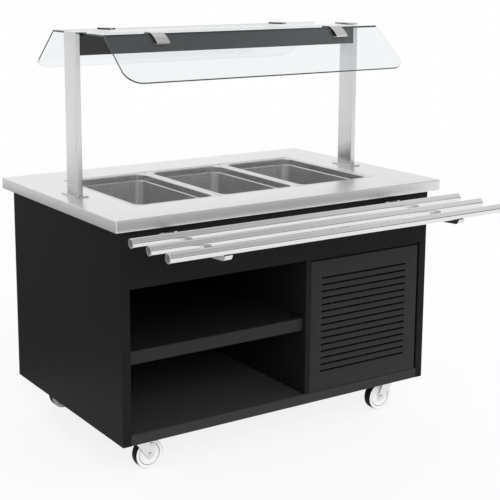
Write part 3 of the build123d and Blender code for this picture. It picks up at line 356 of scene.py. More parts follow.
@dataclass(frozen=True)
class Glass(Finish):
    """Clear float glass as a thin pane: it mirrors more at a low angle, with a faint cool tint."""

    passed: Colour = tint(0.975, 0.983, 0.988)
    mirrored: Colour = tint(0.86, 0.91, 0.94)
    head_on: float = 0.05
    skim: float = 0.9
    dust_scale: float = 30.0

    def surface(self, shader: Shader) -> Value:
        """Schlick's rule: head_on + skim * (1 - cosine) ** 5 of the light is mirrored.

        Args:
            shader: The tree to add to.

        Returns:
            The surface shader.
        """
        slant = shader.node("ShaderNodeLayerWeight", {}, {"Blend": 0.5}, output="Facing")
        share = self.head_on + self.skim * slant**5
        rough = 0.01 + 0.03 * shader.noise(shader.place(), self.dust_scale, 4.0)
        gloss = shader.principled(Base_Color=self.mirrored, Metallic=1.0, Roughness=rough)
        clear = shader.node("ShaderNodeBsdfTransparent", {}, {"Color": self.passed})
        return shader.mix_shaders(share, clear, gloss)


@dataclass(frozen=True)
class GlassEdge(Finish):
    """The ground edge of float glass, dark green because it is seen through a long way of glass."""

    colour: Colour = tint(0.02, 0.042, 0.043)
    passed: Colour = tint(0.96, 0.98, 0.98)
    faint: float = 0.93
    wave_scale: float = 25.0
    sheen: float = 0.6

    def surface(self, shader: Shader) -> Value:
        """A satin edge with a slight change along it. From inside the pane it is faint.

        Args:
            shader: The tree to add to.

        Returns:
            The surface shader.
        """
        wave = shader.noise(shader.place(), self.wave_scale, 2.0)
        satin = shader.principled(
            Base_Color=shader.mix(wave, self.colour, scaled(self.colour, 1.7, 1.5, 1.5)),
            Roughness=0.2 + 0.1 * wave,
            Specular_IOR_Level=self.sheen,
        )
        clear = shader.node("ShaderNodeBsdfTransparent", {}, {"Color": self.passed})
        inside = shader.node("ShaderNodeNewGeometry", output="Backfacing") * self.faint
        return shader.mix_shaders(inside, satin, clear)


@dataclass(frozen=True)
class Moulded(Finish):
    """Moulded plastic or rubber with a fine grain."""

    colour: Colour = grey(0.02)
    roughness: float = 0.45
    grain: float = 0.0008
    depth: float = 0.00002
    sheen: float = 0.4
    flow_scale: float = 14.0

    def surface(self, shader: Shader) -> Value:
        """A spark-eroded grain and wide flow marks.

        Args:
            shader: The tree to add to.

        Returns:
            The surface shader.
        """
        at = shader.place()
        fine = shader.noise(at, 1.0 / self.grain, 2.0)
        flow = shader.noise(at, self.flow_scale, 3.0)
        crest = scaled(self.colour, 1.2, 1.2, 1.2)
        return shader.principled(
            Base_Color=shader.mix(flow.blend(fine, 0.7), self.colour, crest),
            Roughness=self.roughness + 0.08 * (flow - 0.5) + 0.06 * (fine - 0.5),
            Normal=shader.bump(fine, self.depth, 0.5),
            Specular_IOR_Level=self.sheen,
        )


@dataclass(frozen=True)
class BareMetal(Finish):
    """Plated, cast or drawn metal with cloudy variation."""

    colour: Colour = grey(0.7)
    roughness: float = 0.3
    cloud: float = 0.008
    depth: float = 0.00002

    def surface(self, shader: Shader) -> Value:
        """Cells of slightly different brightness, as on zinc or drawn sheet.

        Args:
            shader: The tree to add to.

        Returns:
            The surface shader.
        """
        at = shader.place()
        cells = shader.cells(at, self.cloud)
        soft = shader.noise(at, 0.5 / self.cloud, 3.0)
        dark = scaled(self.colour, 0.8, 0.8, 0.81)
        colour = shader.mix(cells.blend(soft, 0.6), dark, self.colour)
        rough = self.roughness + 0.12 * (soft - 0.5)
        normal = shader.bump(soft, self.depth, 0.4)
        return shader.principled(Base_Color=colour, Metallic=1.0, Roughness=rough, Normal=normal)


@dataclass(frozen=True)
class Foam(Finish):
    """Rigid sprayed foam."""

    colour: Colour = tint(0.62, 0.52, 0.3)
    cell: float = 1 / 220
    depth: float = 0.001

    def surface(self, shader: Shader) -> Value:
        """Closed cells with a skin that is darker between them.

        Args:
            shader: The tree to add to.

        Returns:
            The surface shader.
        """
        cell = shader.cells(shader.place(), self.cell)
        colour = shader.mix(cell, scaled(self.colour, 0.7, 0.68, 0.6), self.colour)
        normal = shader.bump(cell, self.depth, 0.6)
        return shader.principled(Base_Color=colour, Roughness=0.85 + 0.1 * cell, Normal=normal)


WORKTOP_STEEL = BrushedSteel("stainless_worktop", Axis.X, 0.84, 0.29)
POST_STEEL = BrushedSteel("stainless_post", Axis.Z, 0.76, 0.20)
RAIL_STEEL = BrushedSteel("stainless_tube", Axis.X, 0.86, 0.12, 0.00006, 0.0016, 400.0)
PAN_STEEL = BrushedSteel("stainless_pan", Axis.X, 0.70, 0.26, 0.00001, 0.0004, 60.0)
SHEET_STEEL = BrushedSteel("stainless_sheet", Axis.X, 0.66, 0.30)
ARM_STEEL = BrushedSteel("stainless_arm", Axis.Y, 0.86, 0.24)
CLAMP_STEEL = BrushedSteel("stainless_clamp", Axis.Y, 0.82, 0.26, 0.00008, 0.0016, 30.0)
WELD_STEEL = BareMetal("stainless_weld", grey(0.6), 0.3, 0.002)
DISC_STEEL = BrushedSteel("stainless_end_disc", Axis.Z, 0.3, 0.34, 0.00001, 0.0004, 12.0)
BOARD = SatinBoard("black_board_satin", grey(0.0112))
# a lighter copy of the black board: painted light for the bay's floor and back
BOARD_PAINTED_LIGHTER = SatinBoard("black_board_painted_light", grey(0.032), 0.4)
BLACK_SHEET = PowderCoat("black_powder_coat")
BEAM_COAT = PowderCoat("dark_grey_powder_coat", grey(0.026), 0.5)
# black on the straps' steel sides: painted shade along each strap
CLAMP_SIDE_SHADE = Moulded("clamp_side_painted_shade", grey(0.006), 0.5, 0.0008, 0.00002, 0.2)
PANE = Glass("clear_glass_pane")
PANE_EDGE = GlassEdge("glass_ground_edge")
ZINC = BareMetal("bright_zinc", tint(0.88, 0.885, 0.89), 0.26)
GALVANISED = BareMetal("galvanised_sheet", grey(0.55), 0.4, 0.02)
COPPER = BareMetal("drawn_copper", tint(0.72, 0.34, 0.2), 0.3, 0.004)
FINS = BareMetal("aluminium_fins", grey(0.75), 0.35, 0.003)
ENAMEL = Moulded("black_enamel_shell", grey(0.012), 0.22, 0.002, 0.00002, 0.6)
BLACK_PLASTIC = Moulded("black_moulding", grey(0.018), 0.42)
CONTROL_GREY = Moulded("grey_control_moulding", grey(0.06), 0.4)
WHEEL_GREY = Moulded("pale_wheel_moulding", tint(0.76, 0.765, 0.77), 0.34, 0.001, 0.00001, 0.5)
TREAD = Moulded("black_tread_rubber", grey(0.006), 0.6, 0.0006, 0.00004, 0.1)
SEAL = Moulded("grey_seal_rubber", grey(0.05), 0.55)
OPAL = Moulded("opal_strip", grey(0.75), 0.3, 0.001, 0.00001, 0.5)
FOAM = Foam("rigid_foam")


# ----------------------------------------------------------------------------- surfaces


def grid_faces(rows: int, columns: int, wrap_rows: bool) -> Array:
    """Quads of a grid of rows x columns points, whose rows are closed loops.

    Args:
        rows: Points along the first parameter.
        columns: Points along the second.
        wrap_rows: Joins the last row to the first.

    Returns:
        One row of four point numbers for each quad.
    """
    row, column = np.meshgrid(
        np.arange(rows if wrap_rows else rows - 1), np.arange(columns), indexing="ij"
    )
    next_row, next_column = (row + 1) % rows, (column + 1) % columns
    corners = [
        row * columns + column,
        row * columns + next_column,
        next_row * columns + next_column,
        next_row * columns + column,
    ]
    return np.stack(corners, axis=-1).reshape(-1, 4)


def rounded_corners(
    points: Sequence[Sequence[float]], radii: Sequence[float], closed: bool = False
) -> Array:
    """A line whose corners are arcs.

    Each arc touches both runs of its corner. Its centre is on the corner's bisector at
    radius / sin(half the corner's angle).

    Args:
        points: Corners of the line.
        radii: Radius at each corner. 0 keeps a corner sharp, and an open line's ends stay.
        closed: Joins the last point to the first.

    Returns:
        The points of the line with ARC_STEPS points on each arc.
    """
    corners = np.asarray(points, float)
    made: list[Array] = []
    count = len(corners)
    for i, radius in enumerate(radii):
        corner = corners[i]
        if radius <= 0 or (not closed and i in (0, count - 1)):
            made.append(corner[None])
            continue
        before = corners[i - 1] - corner
        after = corners[(i + 1) % count] - corner
        before, after = before / np.linalg.norm(before), after / np.linalg.norm(after)
        half = np.arccos(np.clip(before @ after, -1, 1)) / 2
        bisector = (before + after) / np.linalg.norm(before + after)
        centre = corner + bisector * radius / sin(half)
        start, end = corner + before * radius / tan(half), corner + after * radius / tan(half)
        first = atan2(*(start - centre)[::-1])
        turn = atan2(*(end - centre)[::-1]) - first
        turn = (turn + pi) % (2 * pi) - pi
        angles = first + turn * np.linspace(0, 1, ARC_STEPS)
        made.append(centre + radius * np.stack([np.cos(angles), np.sin(angles)], axis=-1))
    return np.concatenate(made)


def moved_sideways(line: Array, distance: float | Array, closed: bool = False) -> Array:
    """A flat line moved to its left, with mitred corners.

    Each point moves along the mean of its two runs' normals, by distance / cosine of half their
    turn.

    Args:
        line: Points of the line.
        distance: How far it moves, for the whole line or for each point.
        closed: Joins the last point to the first.

    Returns:
        The moved points.
    """
    runs = np.roll(line, -1, axis=0) - line if closed else np.diff(line, axis=0)
    runs = runs / np.maximum(np.linalg.norm(runs, axis=1, keepdims=True), NO_LENGTH)
    normals = np.stack([-runs[:, 1], runs[:, 0]], axis=-1)
    if closed:
        before, after = np.roll(normals, 1, axis=0), normals
    else:
        before = np.concatenate([normals[:1], normals])
        after = np.concatenate([normals, normals[-1:]])
    mean = before + after
    mean = mean / np.linalg.norm(mean, axis=1, keepdims=True)
    share = np.maximum(np.sum(mean * after, axis=1, keepdims=True), LEAST_COSINE)
    return line + mean * distance / share


def sheet_loop(line: Array, thickness: float) -> Array:
    """The outline of a bent sheet: a line, then the same line moved sideways, backwards."""
    return np.concatenate([line, moved_sideways(line, thickness)[::-1]])


def rounded_ring(
    half_x: float | Array,
    half_y: float | Array,
    radius: float | Array,
    height: Array,
    centre: Sequence[float],
) -> Array:
    """Rounded rectangles as rows of a grid.

    A point of a corner is the corner arc's centre plus radius * (cosine, sine) of its angle.

    Args:
        half_x: Half length of each row.
        half_y: Half width of each row.
        radius: Corner radius of each row.
        height: Z of each row.
        centre: X and Y of the middle.

    Returns:
        Array of rows x (4 * ARC_STEPS) x 3.
    """
    corner = np.repeat(np.arange(4), ARC_STEPS)
    angle = (corner + np.tile(np.linspace(0, 1, ARC_STEPS), 4)) * pi / 2
    side_x = np.where((corner == 0) | (corner == 3), 1.0, -1.0)
    side_y = np.where(corner < 2, 1.0, -1.0)
    half_x, half_y, radius, height = (
        a[:, None] for a in np.broadcast_arrays(half_x, half_y, radius, height)
    )
    x = centre[0] + side_x * (half_x - radius) + radius * np.cos(angle)
    y = centre[1] + side_y * (half_y - radius) + radius * np.sin(angle)
    return np.stack([x, y, np.broadcast_to(height, x.shape)], axis=-1)


def turned(profile: Sequence[Sequence[float]], centre: Sequence[float], axis: Axis) -> Array:
    """A profile turned about an axis.

    Args:
        profile: (distance along the axis, radius) pairs.
        centre: Point on the axis at distance 0.
        axis: Direction of the axis.

    Returns:
        Array of pairs x TURN_STEPS x 3.
    """
    pairs = np.asarray(profile, float)
    angle = np.linspace(0, 2 * pi, TURN_STEPS, endpoint=False)
    made = np.empty((len(pairs), TURN_STEPS, 3))
    first, second = [i for i in range(3) if i != axis.value]
    made[..., axis.value] = centre[axis.value] + pairs[:, :1]
    made[..., first] = centre[first] + pairs[:, 1:] * np.cos(angle)
    made[..., second] = centre[second] + pairs[:, 1:] * np.sin(angle)
    return made


def carried(outline: Array, axis: Axis, places: Sequence[float]) -> Array:
    """A closed flat outline carried along an axis, as one row at each place.

    Args:
        outline: Points in the two other axes, in their order.
        axis: Direction of the path.
        places: Distances along it.

    Returns:
        Array of places x points x 3.
    """
    made = np.empty((len(places), len(outline), 3))
    first, second = [i for i in range(3) if i != axis.value]
    made[..., axis.value] = np.asarray(places, float)[:, None]
    made[..., first] = outline[:, 0]
    made[..., second] = outline[:, 1]
    return made


class Surface:
    """Points and faces gathered for one piece."""

    def __init__(self) -> None:
        """Starts with nothing."""
        self.points: list[Array] = []
        self.faces: list[list[int]] = []
        self.finishes: list[int] = []
        self.count = 0

    def grid(
        self,
        points: Array,
        wrap_rows: bool = False,
        caps: bool = False,
        finish: int | Sequence[int] | Array = 0,
        cap_finish: int = 0,
    ) -> "Surface":
        """Adds a grid of points[row, column] with its quads. Each row is a closed loop.

        Args:
            points: Array of rows x columns x 3.
            wrap_rows: Joins the last row to the first.
            caps: Closes the first and the last row with a face each.
            finish: Number of the quads' finish, or an array of one for each quad.
            cap_finish: Number of the caps' finish.

        Returns:
            The surface itself.
        """
        rows, columns = points.shape[:2]
        quads = grid_faces(rows, columns, wrap_rows) + self.count
        self.faces += quads.tolist()
        shape = (len(quads) // columns, columns)
        self.finishes += np.broadcast_to(finish, shape).ravel().tolist()
        if caps:
            first = np.arange(columns) + self.count
            self.faces += [first[::-1].tolist(), (first + (rows - 1) * columns).tolist()]
            self.finishes += [cap_finish] * 2
        self.points.append(points.reshape(-1, 3))
        self.count += rows * columns
        return self

    def build(
        self, name: str, finishes: Sequence[Finish], sharp: float, bevel: float = 0.0
    ) -> bpy.types.Object:
        """Makes the piece.

        Args:
            name: The piece's name.
            finishes: Its finishes, in the order of their numbers.
            sharp: Edges that turn more degrees than this stay sharp.
            bevel: Width of a bevel along those edges.

        Returns:
            The object, at the origin, with its faces outwards.
        """
        mesh = bpy.data.meshes.new(name)
        mesh.from_pydata(np.concatenate(self.points).tolist(), [], self.faces)
        mesh.polygons.foreach_set("material_index", np.array(self.finishes, np.int32))
        work = bmesh.new()
        work.from_mesh(mesh)
        bmesh.ops.remove_doubles(work, verts=work.verts, dist=MERGE)
        bmesh.ops.recalc_face_normals(work, faces=work.faces)
        work.to_mesh(mesh)
        work.free()
        mesh.shade_smooth()
        mesh.set_sharp_from_angle(angle=radians(sharp))
        for finish in finishes:
            mesh.materials.append(finish.material())
        piece = bpy.data.objects.new(name, mesh)
        bpy.context.scene.collection.objects.link(piece)
        if bevel:
            rounding = piece.modifiers.new("rounding", "BEVEL")
            rounding.width = bevel
            rounding.segments = 2
            rounding.limit_method = "ANGLE"
            rounding.angle_limit = radians(sharp)
            rounding.harden_normals = True
        return piece


def middle(node: str) -> Array:
    """Middle of a node's box."""
    low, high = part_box(node)
    return (np.array(low) + np.array(high)) / 2


def half_size(node: str) -> Array:
    """Half the size of a node's box."""
    low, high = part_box(node)
    return (np.array(high) - np.array(low)) / 2


def dress(finish: Finish, *nodes: str) -> None:
    """Gives frame nodes a finish.

    Args:
        finish: The finish.
        nodes: Names of the nodes.
    """
    for name in nodes:
        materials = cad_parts[name].data.materials
        materials.clear()
        materials.append(finish.material())
        log.info("dressed %s in %s", name, finish.name)


def place(piece: bpy.types.Object, body: str, slot: str, *nodes: str) -> None:
    """Joins a piece to the frame.

    Args:
        piece: The piece.
        body: The body that it rides on.
        slot: Its material slot; not used.
        nodes: The nodes that it stands for.
    """
    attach(piece, body)
    if nodes:
        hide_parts(*nodes)
    log.info("built %s on %s", piece.name, body)


# ----------------------------------------------------------------------------- sub-assemblies


class SubAssembly(Protocol):
    """Pieces of the salad bar that belong together."""

    def build(self) -> None:
        """Builds and dresses the pieces."""


@dataclass
class Worktop:
    """The stainless worktop: its turned-down edge, the recess for the pans and the well below."""

    sheet: float = 2 * MM
    apron: float = 38 * MM  # height of the turned-down edge
    apron_fold: float = 3 * MM
    hem: float = 30 * MM
    nose: float = 2.5 * MM
    corner: float = 4 * MM
    recess_fold: float = 3.2 * MM
    recess_corner: float = 10 * MM
    recess_depth: float = 5 * MM
    ledge: float = 12 * MM
    ledge_crease: float = 1.2 * MM
    ledge_fold: float = 2.5 * MM
    lip: float = 14 * MM
    least_radius: float = 1 * MM
    well_margin: float = 1.5 * MM

    def profile(self) -> tuple[Array, Array, Array, Array]:
        """Section of the sheet from its hem to the lip.

        s is the way inwards from the edge. The section is a line of bends, closed by the same
        line moved in by the sheet.

        Returns:
            Half length, half width, corner radius and height of each row.
        """
        _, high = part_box("worktop")
        half_x, half_y, _ = half_size("worktop")
        pan_low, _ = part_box("left_pan")
        _, pan_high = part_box("right_pan")
        inner_x = (pan_high.x - pan_low.x) / 2 + self.well_margin
        inner_y = (pan_high.y - pan_low.y) / 2 + self.well_margin
        top, under = high.z, high.z - self.apron
        ledge_z = top - self.recess_depth
        recess = half_x - inner_x
        ledge = recess + self.ledge
        folds = [self.apron_fold, self.nose, self.recess_fold, self.ledge_crease, self.ledge_fold]
        line = rounded_corners(
            [
                (self.hem, under),
                (0.0, under),
                (0.0, top),
                (recess, top),
                (recess, ledge_z),
                (ledge, ledge_z),
                (ledge, ledge_z - self.lip),
            ],
            [0, *folds, 0],
        )
        loop = sheet_loop(line, -self.sheet)
        s, height = loop[:, 0], loop[:, 1]
        outer = s < recess / 2
        radius = np.where(outer, self.corner - s, self.recess_corner + recess - s)
        half_width = np.where(outer, half_y - s, inner_y + recess - s)
        return half_x - s, half_width, np.maximum(radius, self.least_radius), height

    def build(self) -> None:
        """Builds the sheet and dresses the well."""
        rings = rounded_ring(*self.profile(), middle("worktop")[:2])
        skin = Surface().grid(rings, wrap_rows=True).build("worktop_sheet", [WORKTOP_STEEL], 40)
        place(skin, "cabinet", "stainless", "worktop")
        dress(SHEET_STEEL, "pan_dividers", "well_tub")
        dress(FOAM, "well_insulation")
        dress(COPPER, "cooling_coil")


@dataclass
class Pan:
    """A 1/1 pan: a pressed bowl with a flange, a turned-down rim and a stacking shoulder."""

    node: str
    sheet: float = 1.2 * MM
    flange: float = 17 * MM
    rim: float = 4 * MM
    rim_fold: float = 1.8 * MM
    corner: float = 12 * MM
    bowl_corner: float = 34 * MM
    floor_corner: float = 8 * MM
    corner_run: float = 60 * MM  # way inwards over which the bowl's corner becomes the floor's
    floor_radius: float = 18 * MM
    mouth_radius: float = 5 * MM
    shoulder_depth: float = 24 * MM
    shoulder: float = 2 * MM
    shoulder_fold: float = 2 * MM
    taper: float = radians(2.5)

    def build(self) -> None:
        """Builds the pan as rounded rectangles from the middle of its floor, over the rim and back.

        At depth d below the rim the wall is flange + d * tan(taper) inside the pan's edge.
        """
        low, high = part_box(self.node)
        half_x, half_y, _ = half_size(self.node)
        floor = low.z + self.sheet
        step_z = high.z - self.shoulder_depth
        wall_in = self.flange + (high.z - floor) * tan(self.taper)
        step_in = self.flange + self.shoulder_depth * tan(self.taper)
        fold = self.shoulder_fold
        line = rounded_corners(
            [
                (0.0, high.z - self.rim),
                (0.0, high.z),
                (self.flange, high.z),
                (step_in - self.shoulder, step_z),
                (step_in, step_z - self.shoulder),
                (wall_in, floor),
                (wall_in + 2 * self.floor_radius, floor),
            ],
            [0, self.rim_fold, self.mouth_radius, fold, fold, self.floor_radius, 0],
        )
        loop = sheet_loop(line, -self.sheet)
        half = len(loop) // 2
        loop = np.concatenate([loop[half:], loop[:half]])[::-1]
        s, height = loop[:, 0], loop[:, 1]
        ways = [0, self.flange, self.flange + self.corner_run]
        radius = np.interp(s, ways, [self.corner, self.bowl_corner, self.floor_corner])
        rings = rounded_ring(half_x - s, half_y - s, radius, height, middle(self.node)[:2])
        pan = Surface().grid(rings, caps=True).build(f"{self.node}_pressing", [PAN_STEEL], 40)
        place(pan, f"{self.node}_body", "stainless", self.node)


@dataclass
class Canopy:
    """Posts, lamp housing, the three panes and their clamps."""

    post_corner: float = 3 * MM
    weld: float = 1.98 * MM
    weld_bite: float = 0.2 * MM  # how far a weld reaches into its post
    glass: float = 6 * MM
    arris: float = 0.8 * MM
    slope: float = radians(40.2)
    pane_corner: float = 2 * MM
    lower_corner: float = 55 * MM
    pane_length: float = 212 * MM
    joint: float = 1 * MM
    strap: float = 3 * MM
    strap_leg: float = 7 * MM
    strap_width: float = 48 * MM
    strap_level: float = 57 * MM
    strap_down: float = 50 * MM
    strap_bend: float = 9 * MM
    strap_inset: float = 192 * MM
    strap_edge: float = 0.5 * MM
    tongue: float = 30 * MM
    tongue_steps: int = 13
    tongue_power: float = 1.6  # above 1 the tongue's points lie closer together at its tip
    tip_share: float = 0.02  # least square of the tongue's width, as a share of the strap's
    leg_start: float = 0.1  # where the leg's points begin, as a share of its straight part
    leg_steps: int = 8
    swell_share: float = 0.35  # share of the sloping leg's length over which it grows thick
    backing: float = 38 * MM
    backing_bend: float = 4 * MM
    housing_fold: float = 3 * MM
    housing_sheet: float = 2 * MM
    housing_lip: float = 12 * MM

    def build(self) -> None:
        """Builds every part of the canopy."""
        self.posts()
        self.housing()
        self.panes()
        self.clamps()

    def posts(self) -> None:
        """Rectangular tubes with drawn corners, with a fillet weld round each foot."""
        nodes = ("left_post", "right_post")
        for node in nodes:
            low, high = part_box(node)
            half_x, half_y, _ = half_size(node)
            ends = np.array([low.z, high.z])
            section = rounded_ring(half_x, half_y, self.post_corner, ends, middle(node)[:2])
            tube = Surface().grid(section, caps=True).build(f"{node}_tube", [POST_STEEL], 30)
            place(tube, "cabinet", "stainless", node)
        dress(POST_STEEL, "post_feet", "post_caps")
        for node in nodes:
            self.foot_weld(node)

    def foot_weld(self, node: str) -> None:
        """A bead where the post meets its foot: a quarter round carried about the post.

        At angle a the bead's skin lies weld * cos(a) out from its root and weld * sin(a) above
        the foot.

        Args:
            node: The post.
        """
        low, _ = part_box(node)
        half_x, half_y, _ = half_size(node) - self.weld_bite
        angle = np.linspace(0, pi / 2, FOLD_STEPS)
        out = np.concatenate([[0.0], self.weld * np.cos(angle), [0.0]])
        up = np.concatenate([[0.0], self.weld * np.sin(angle), [0.0]])
        radius = self.post_corner + out
        rings = rounded_ring(half_x + out, half_y + out, radius, low.z + up, middle(node)[:2])
        bead = Surface().grid(rings, wrap_rows=True).build(f"{node}_weld", [WELD_STEEL], 60)
        place(bead, "cabinet", "stainless")

    def housing(self) -> None:
        """A folded channel between the posts, open below, with the lamp and its strip in it."""
        low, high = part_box("lamp_housing")
        line = rounded_corners(
            [
                (low.y + self.housing_lip, low.z),
                (low.y, low.z),
                (low.y, high.z),
                (high.y, high.z),
                (high.y, low.z),
                (high.y - self.housing_lip, low.z),
            ],
            [0] + [self.housing_fold] * 4 + [0],
        )
        loop = sheet_loop(line, -self.housing_sheet)
        shell = Surface().grid(carried(loop, Axis.X, [low.x, high.x]), caps=True)
        channel = shell.build("lamp_housing_channel", [BEAM_COAT], 40)
        place(channel, "cabinet", "black_sheet", "lamp_housing")
        dress(OPAL, "lamp_diffuser", "lamp_tube")
        dress(SEAL, "glass_gasket")

    def pane(
        self, name: str, outline: Array, origin: Array, across: Array, up: Array, node: str
    ) -> None:
        """A pane with ground edges.

        The outline is drawn in by the arris on both faces, so that the edge band is a surface of
        its own.

        Args:
            name: The piece's name.
            outline: Closed flat outline, counter-clockwise.
            origin: Its zero point on the upper face.
            across: Direction of the outline's first axis.
            up: Direction of its second.
            node: The node that it stands for.
        """
        out = np.cross(across, up)
        inner = moved_sideways(outline, self.arris, closed=True)
        rows = [
            (inner, 0.0),
            (outline, -self.arris),
            (outline, self.arris - self.glass),
            (inner, -self.glass),
        ]
        points = np.stack(
            [origin + line[:, :1] * across + line[:, 1:] * up + depth * out for line, depth in rows]
        )
        surface = Surface().grid(points, caps=True, finish=1)
        place(surface.build(name, [PANE, PANE_EDGE], 30), "cabinet", "clear_glass", node)

    def panes(self) -> None:
        """The level pane and the two that slope down from it."""
        _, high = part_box("top_glass")
        x, y = high.x, half_size("top_glass")[1]
        middle_y = middle("top_glass")[1]
        small, large = self.pane_corner, self.lower_corner
        level = rounded_corners([(-x, -y), (x, -y), (x, y), (-x, y)], [small] * 4, closed=True)
        origin, across, up = np.array([(0.0, middle_y, high.z), (1.0, 0.0, 0.0), (0.0, 1.0, 0.0)])
        self.pane("level_pane", level, origin, across, up, "top_glass")
        drop = self.pane_length
        corners = [(-x, -drop), (x, -drop), (x, 0.0), (-x, 0.0)]
        shape = rounded_corners(corners, [large, large, small, small], closed=True)
        for side, node in ((-1, "front_glass"), (1, "back_glass")):
            origin = np.array([0.0, middle_y + side * self.edge_out(), self.edge_z()])
            across = np.array([-side, 0.0, 0.0])
            up = np.array([0.0, -side * cos(self.slope), sin(self.slope)])
            self.pane(f"{node}_pane", shape, origin, across, up, node)

    def edge_out(self) -> float:
        """Way from the middle to a sloping pane's upper edge, on its upper face."""
        return half_size("top_glass")[1] + self.joint + self.glass * sin(self.slope)

    def edge_z(self) -> float:
        """Height of that edge."""
        _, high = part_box("top_glass")
        return high.z - self.glass + self.glass * cos(self.slope) + self.joint

    def strap_line(
        self, height: float, depth: float, level: float, down: float, bend: float
    ) -> Array:
        """Section of a bent strap: level, round the bend and down the slope.

        Args:
            height: Z of its level face.
            depth: How far its sloping face lies below the sloping pane's outer face.
            level: Length of the level leg, from the pane's edge.
            down: Length of the sloping leg.
            bend: Radius of the bend.

        Returns:
            Points (way out from the middle, height).
        """
        out = self.edge_out() - depth * sin(self.slope)
        z = self.edge_z() - depth * cos(self.slope)
        corner = out + (z - height) / tan(self.slope)
        end = half_size("top_glass")[1] - level
        tip = (corner + down * cos(self.slope), height - down * sin(self.slope))
        return rounded_corners([(end, height), (corner, height), tip], [0, bend, 0])

    def clamps(self) -> None:
        """Outer straps with rounded tongues and thick legs, and backing straps inside."""
        low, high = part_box("top_glass")
        outer = self.strap_line(high.z, 0.0, self.strap_level, self.strap_down, self.strap_bend)
        under, depth = low.z - self.strap, self.glass + self.strap
        inner = self.strap_line(under, depth, self.backing, self.backing, self.backing_bend)
        left, right = low.x + self.strap_inset, high.x - self.strap_inset
        for side, where in ((-1, "front"), (1, "back")):
            for x, hand in ((left, "left"), (right, "right")):
                surface = Surface()
                self.strap_grid(surface, outer, x, side, True)
                self.strap_grid(surface, inner, x, side, False)
                name = f"clamp_{where}_{hand}"
                clamp = surface.build(name, [CLAMP_STEEL, CLAMP_SIDE_SHADE], 35, self.strap_edge)
                place(clamp, "cabinet", "stainless", "glass_clamps")
        dress(CLAMP_STEEL, "clamp_screws")

    def strap_grid(self, surface: Surface, line: Array, x: float, side: int, tongue: bool) -> None:
        """Adds one strap: its section carried across its width, with black painted shade on its
        sides.

        A tongue's level end is half an ellipse: there the half width is the strap's own times
        the square root of 1 - (1 - way / tongue length) ** 2. Its thickness grows over the bend
        from the sheet's to the leg's.

        Args:
            surface: Surface to add to.
            line: Section of the face nearer to the glass.
            x: Middle of the strap.
            side: -1 at the customer's side and 1 at the back.
            tongue: Rounds the level end.
        """
        half = self.strap_width / 2
        if tongue:
            way = np.linspace(0, 1, self.tongue_steps)[:, None] ** self.tongue_power
            start = line[0] + way * self.tongue * np.array([1.0, 0.0])
            down = np.linspace(self.leg_start, 1, self.leg_steps)[:, None]
            leg = line[-2] + down * (line[-1] - line[-2])
            line = np.concatenate([start, line[1:-1], leg])
            width = np.full(len(line), half)
            square = np.maximum(1 - (1 - way[:, 0]) ** 2, self.tip_share)
            width[: len(way)] = half * np.sqrt(square)
            swell = self.strap_down * self.swell_share
            sunk = np.clip((start[0, 1] - line[:, 1:]) / swell, 0, 1)
            thick = self.strap + (self.strap_leg - self.strap) * sunk * sunk * (3 - 2 * sunk)
        else:
            width = np.full(len(line), half)
            thick = np.full((len(line), 1), self.strap)
        upper = moved_sideways(line, thick)
        middle_y = middle("top_glass")[1]
        columns = [
            np.stack([x + edge * width, middle_y + side * skin[:, 0], skin[:, 1]], axis=-1)
            for edge, skin in ((-1, line), (1, line), (1, upper), (-1, upper))
        ]
        # the strap's sides take the second finish: black painted shade
        surface.grid(np.stack(columns, axis=1), caps=True, finish=(0, 1, 0, 1))


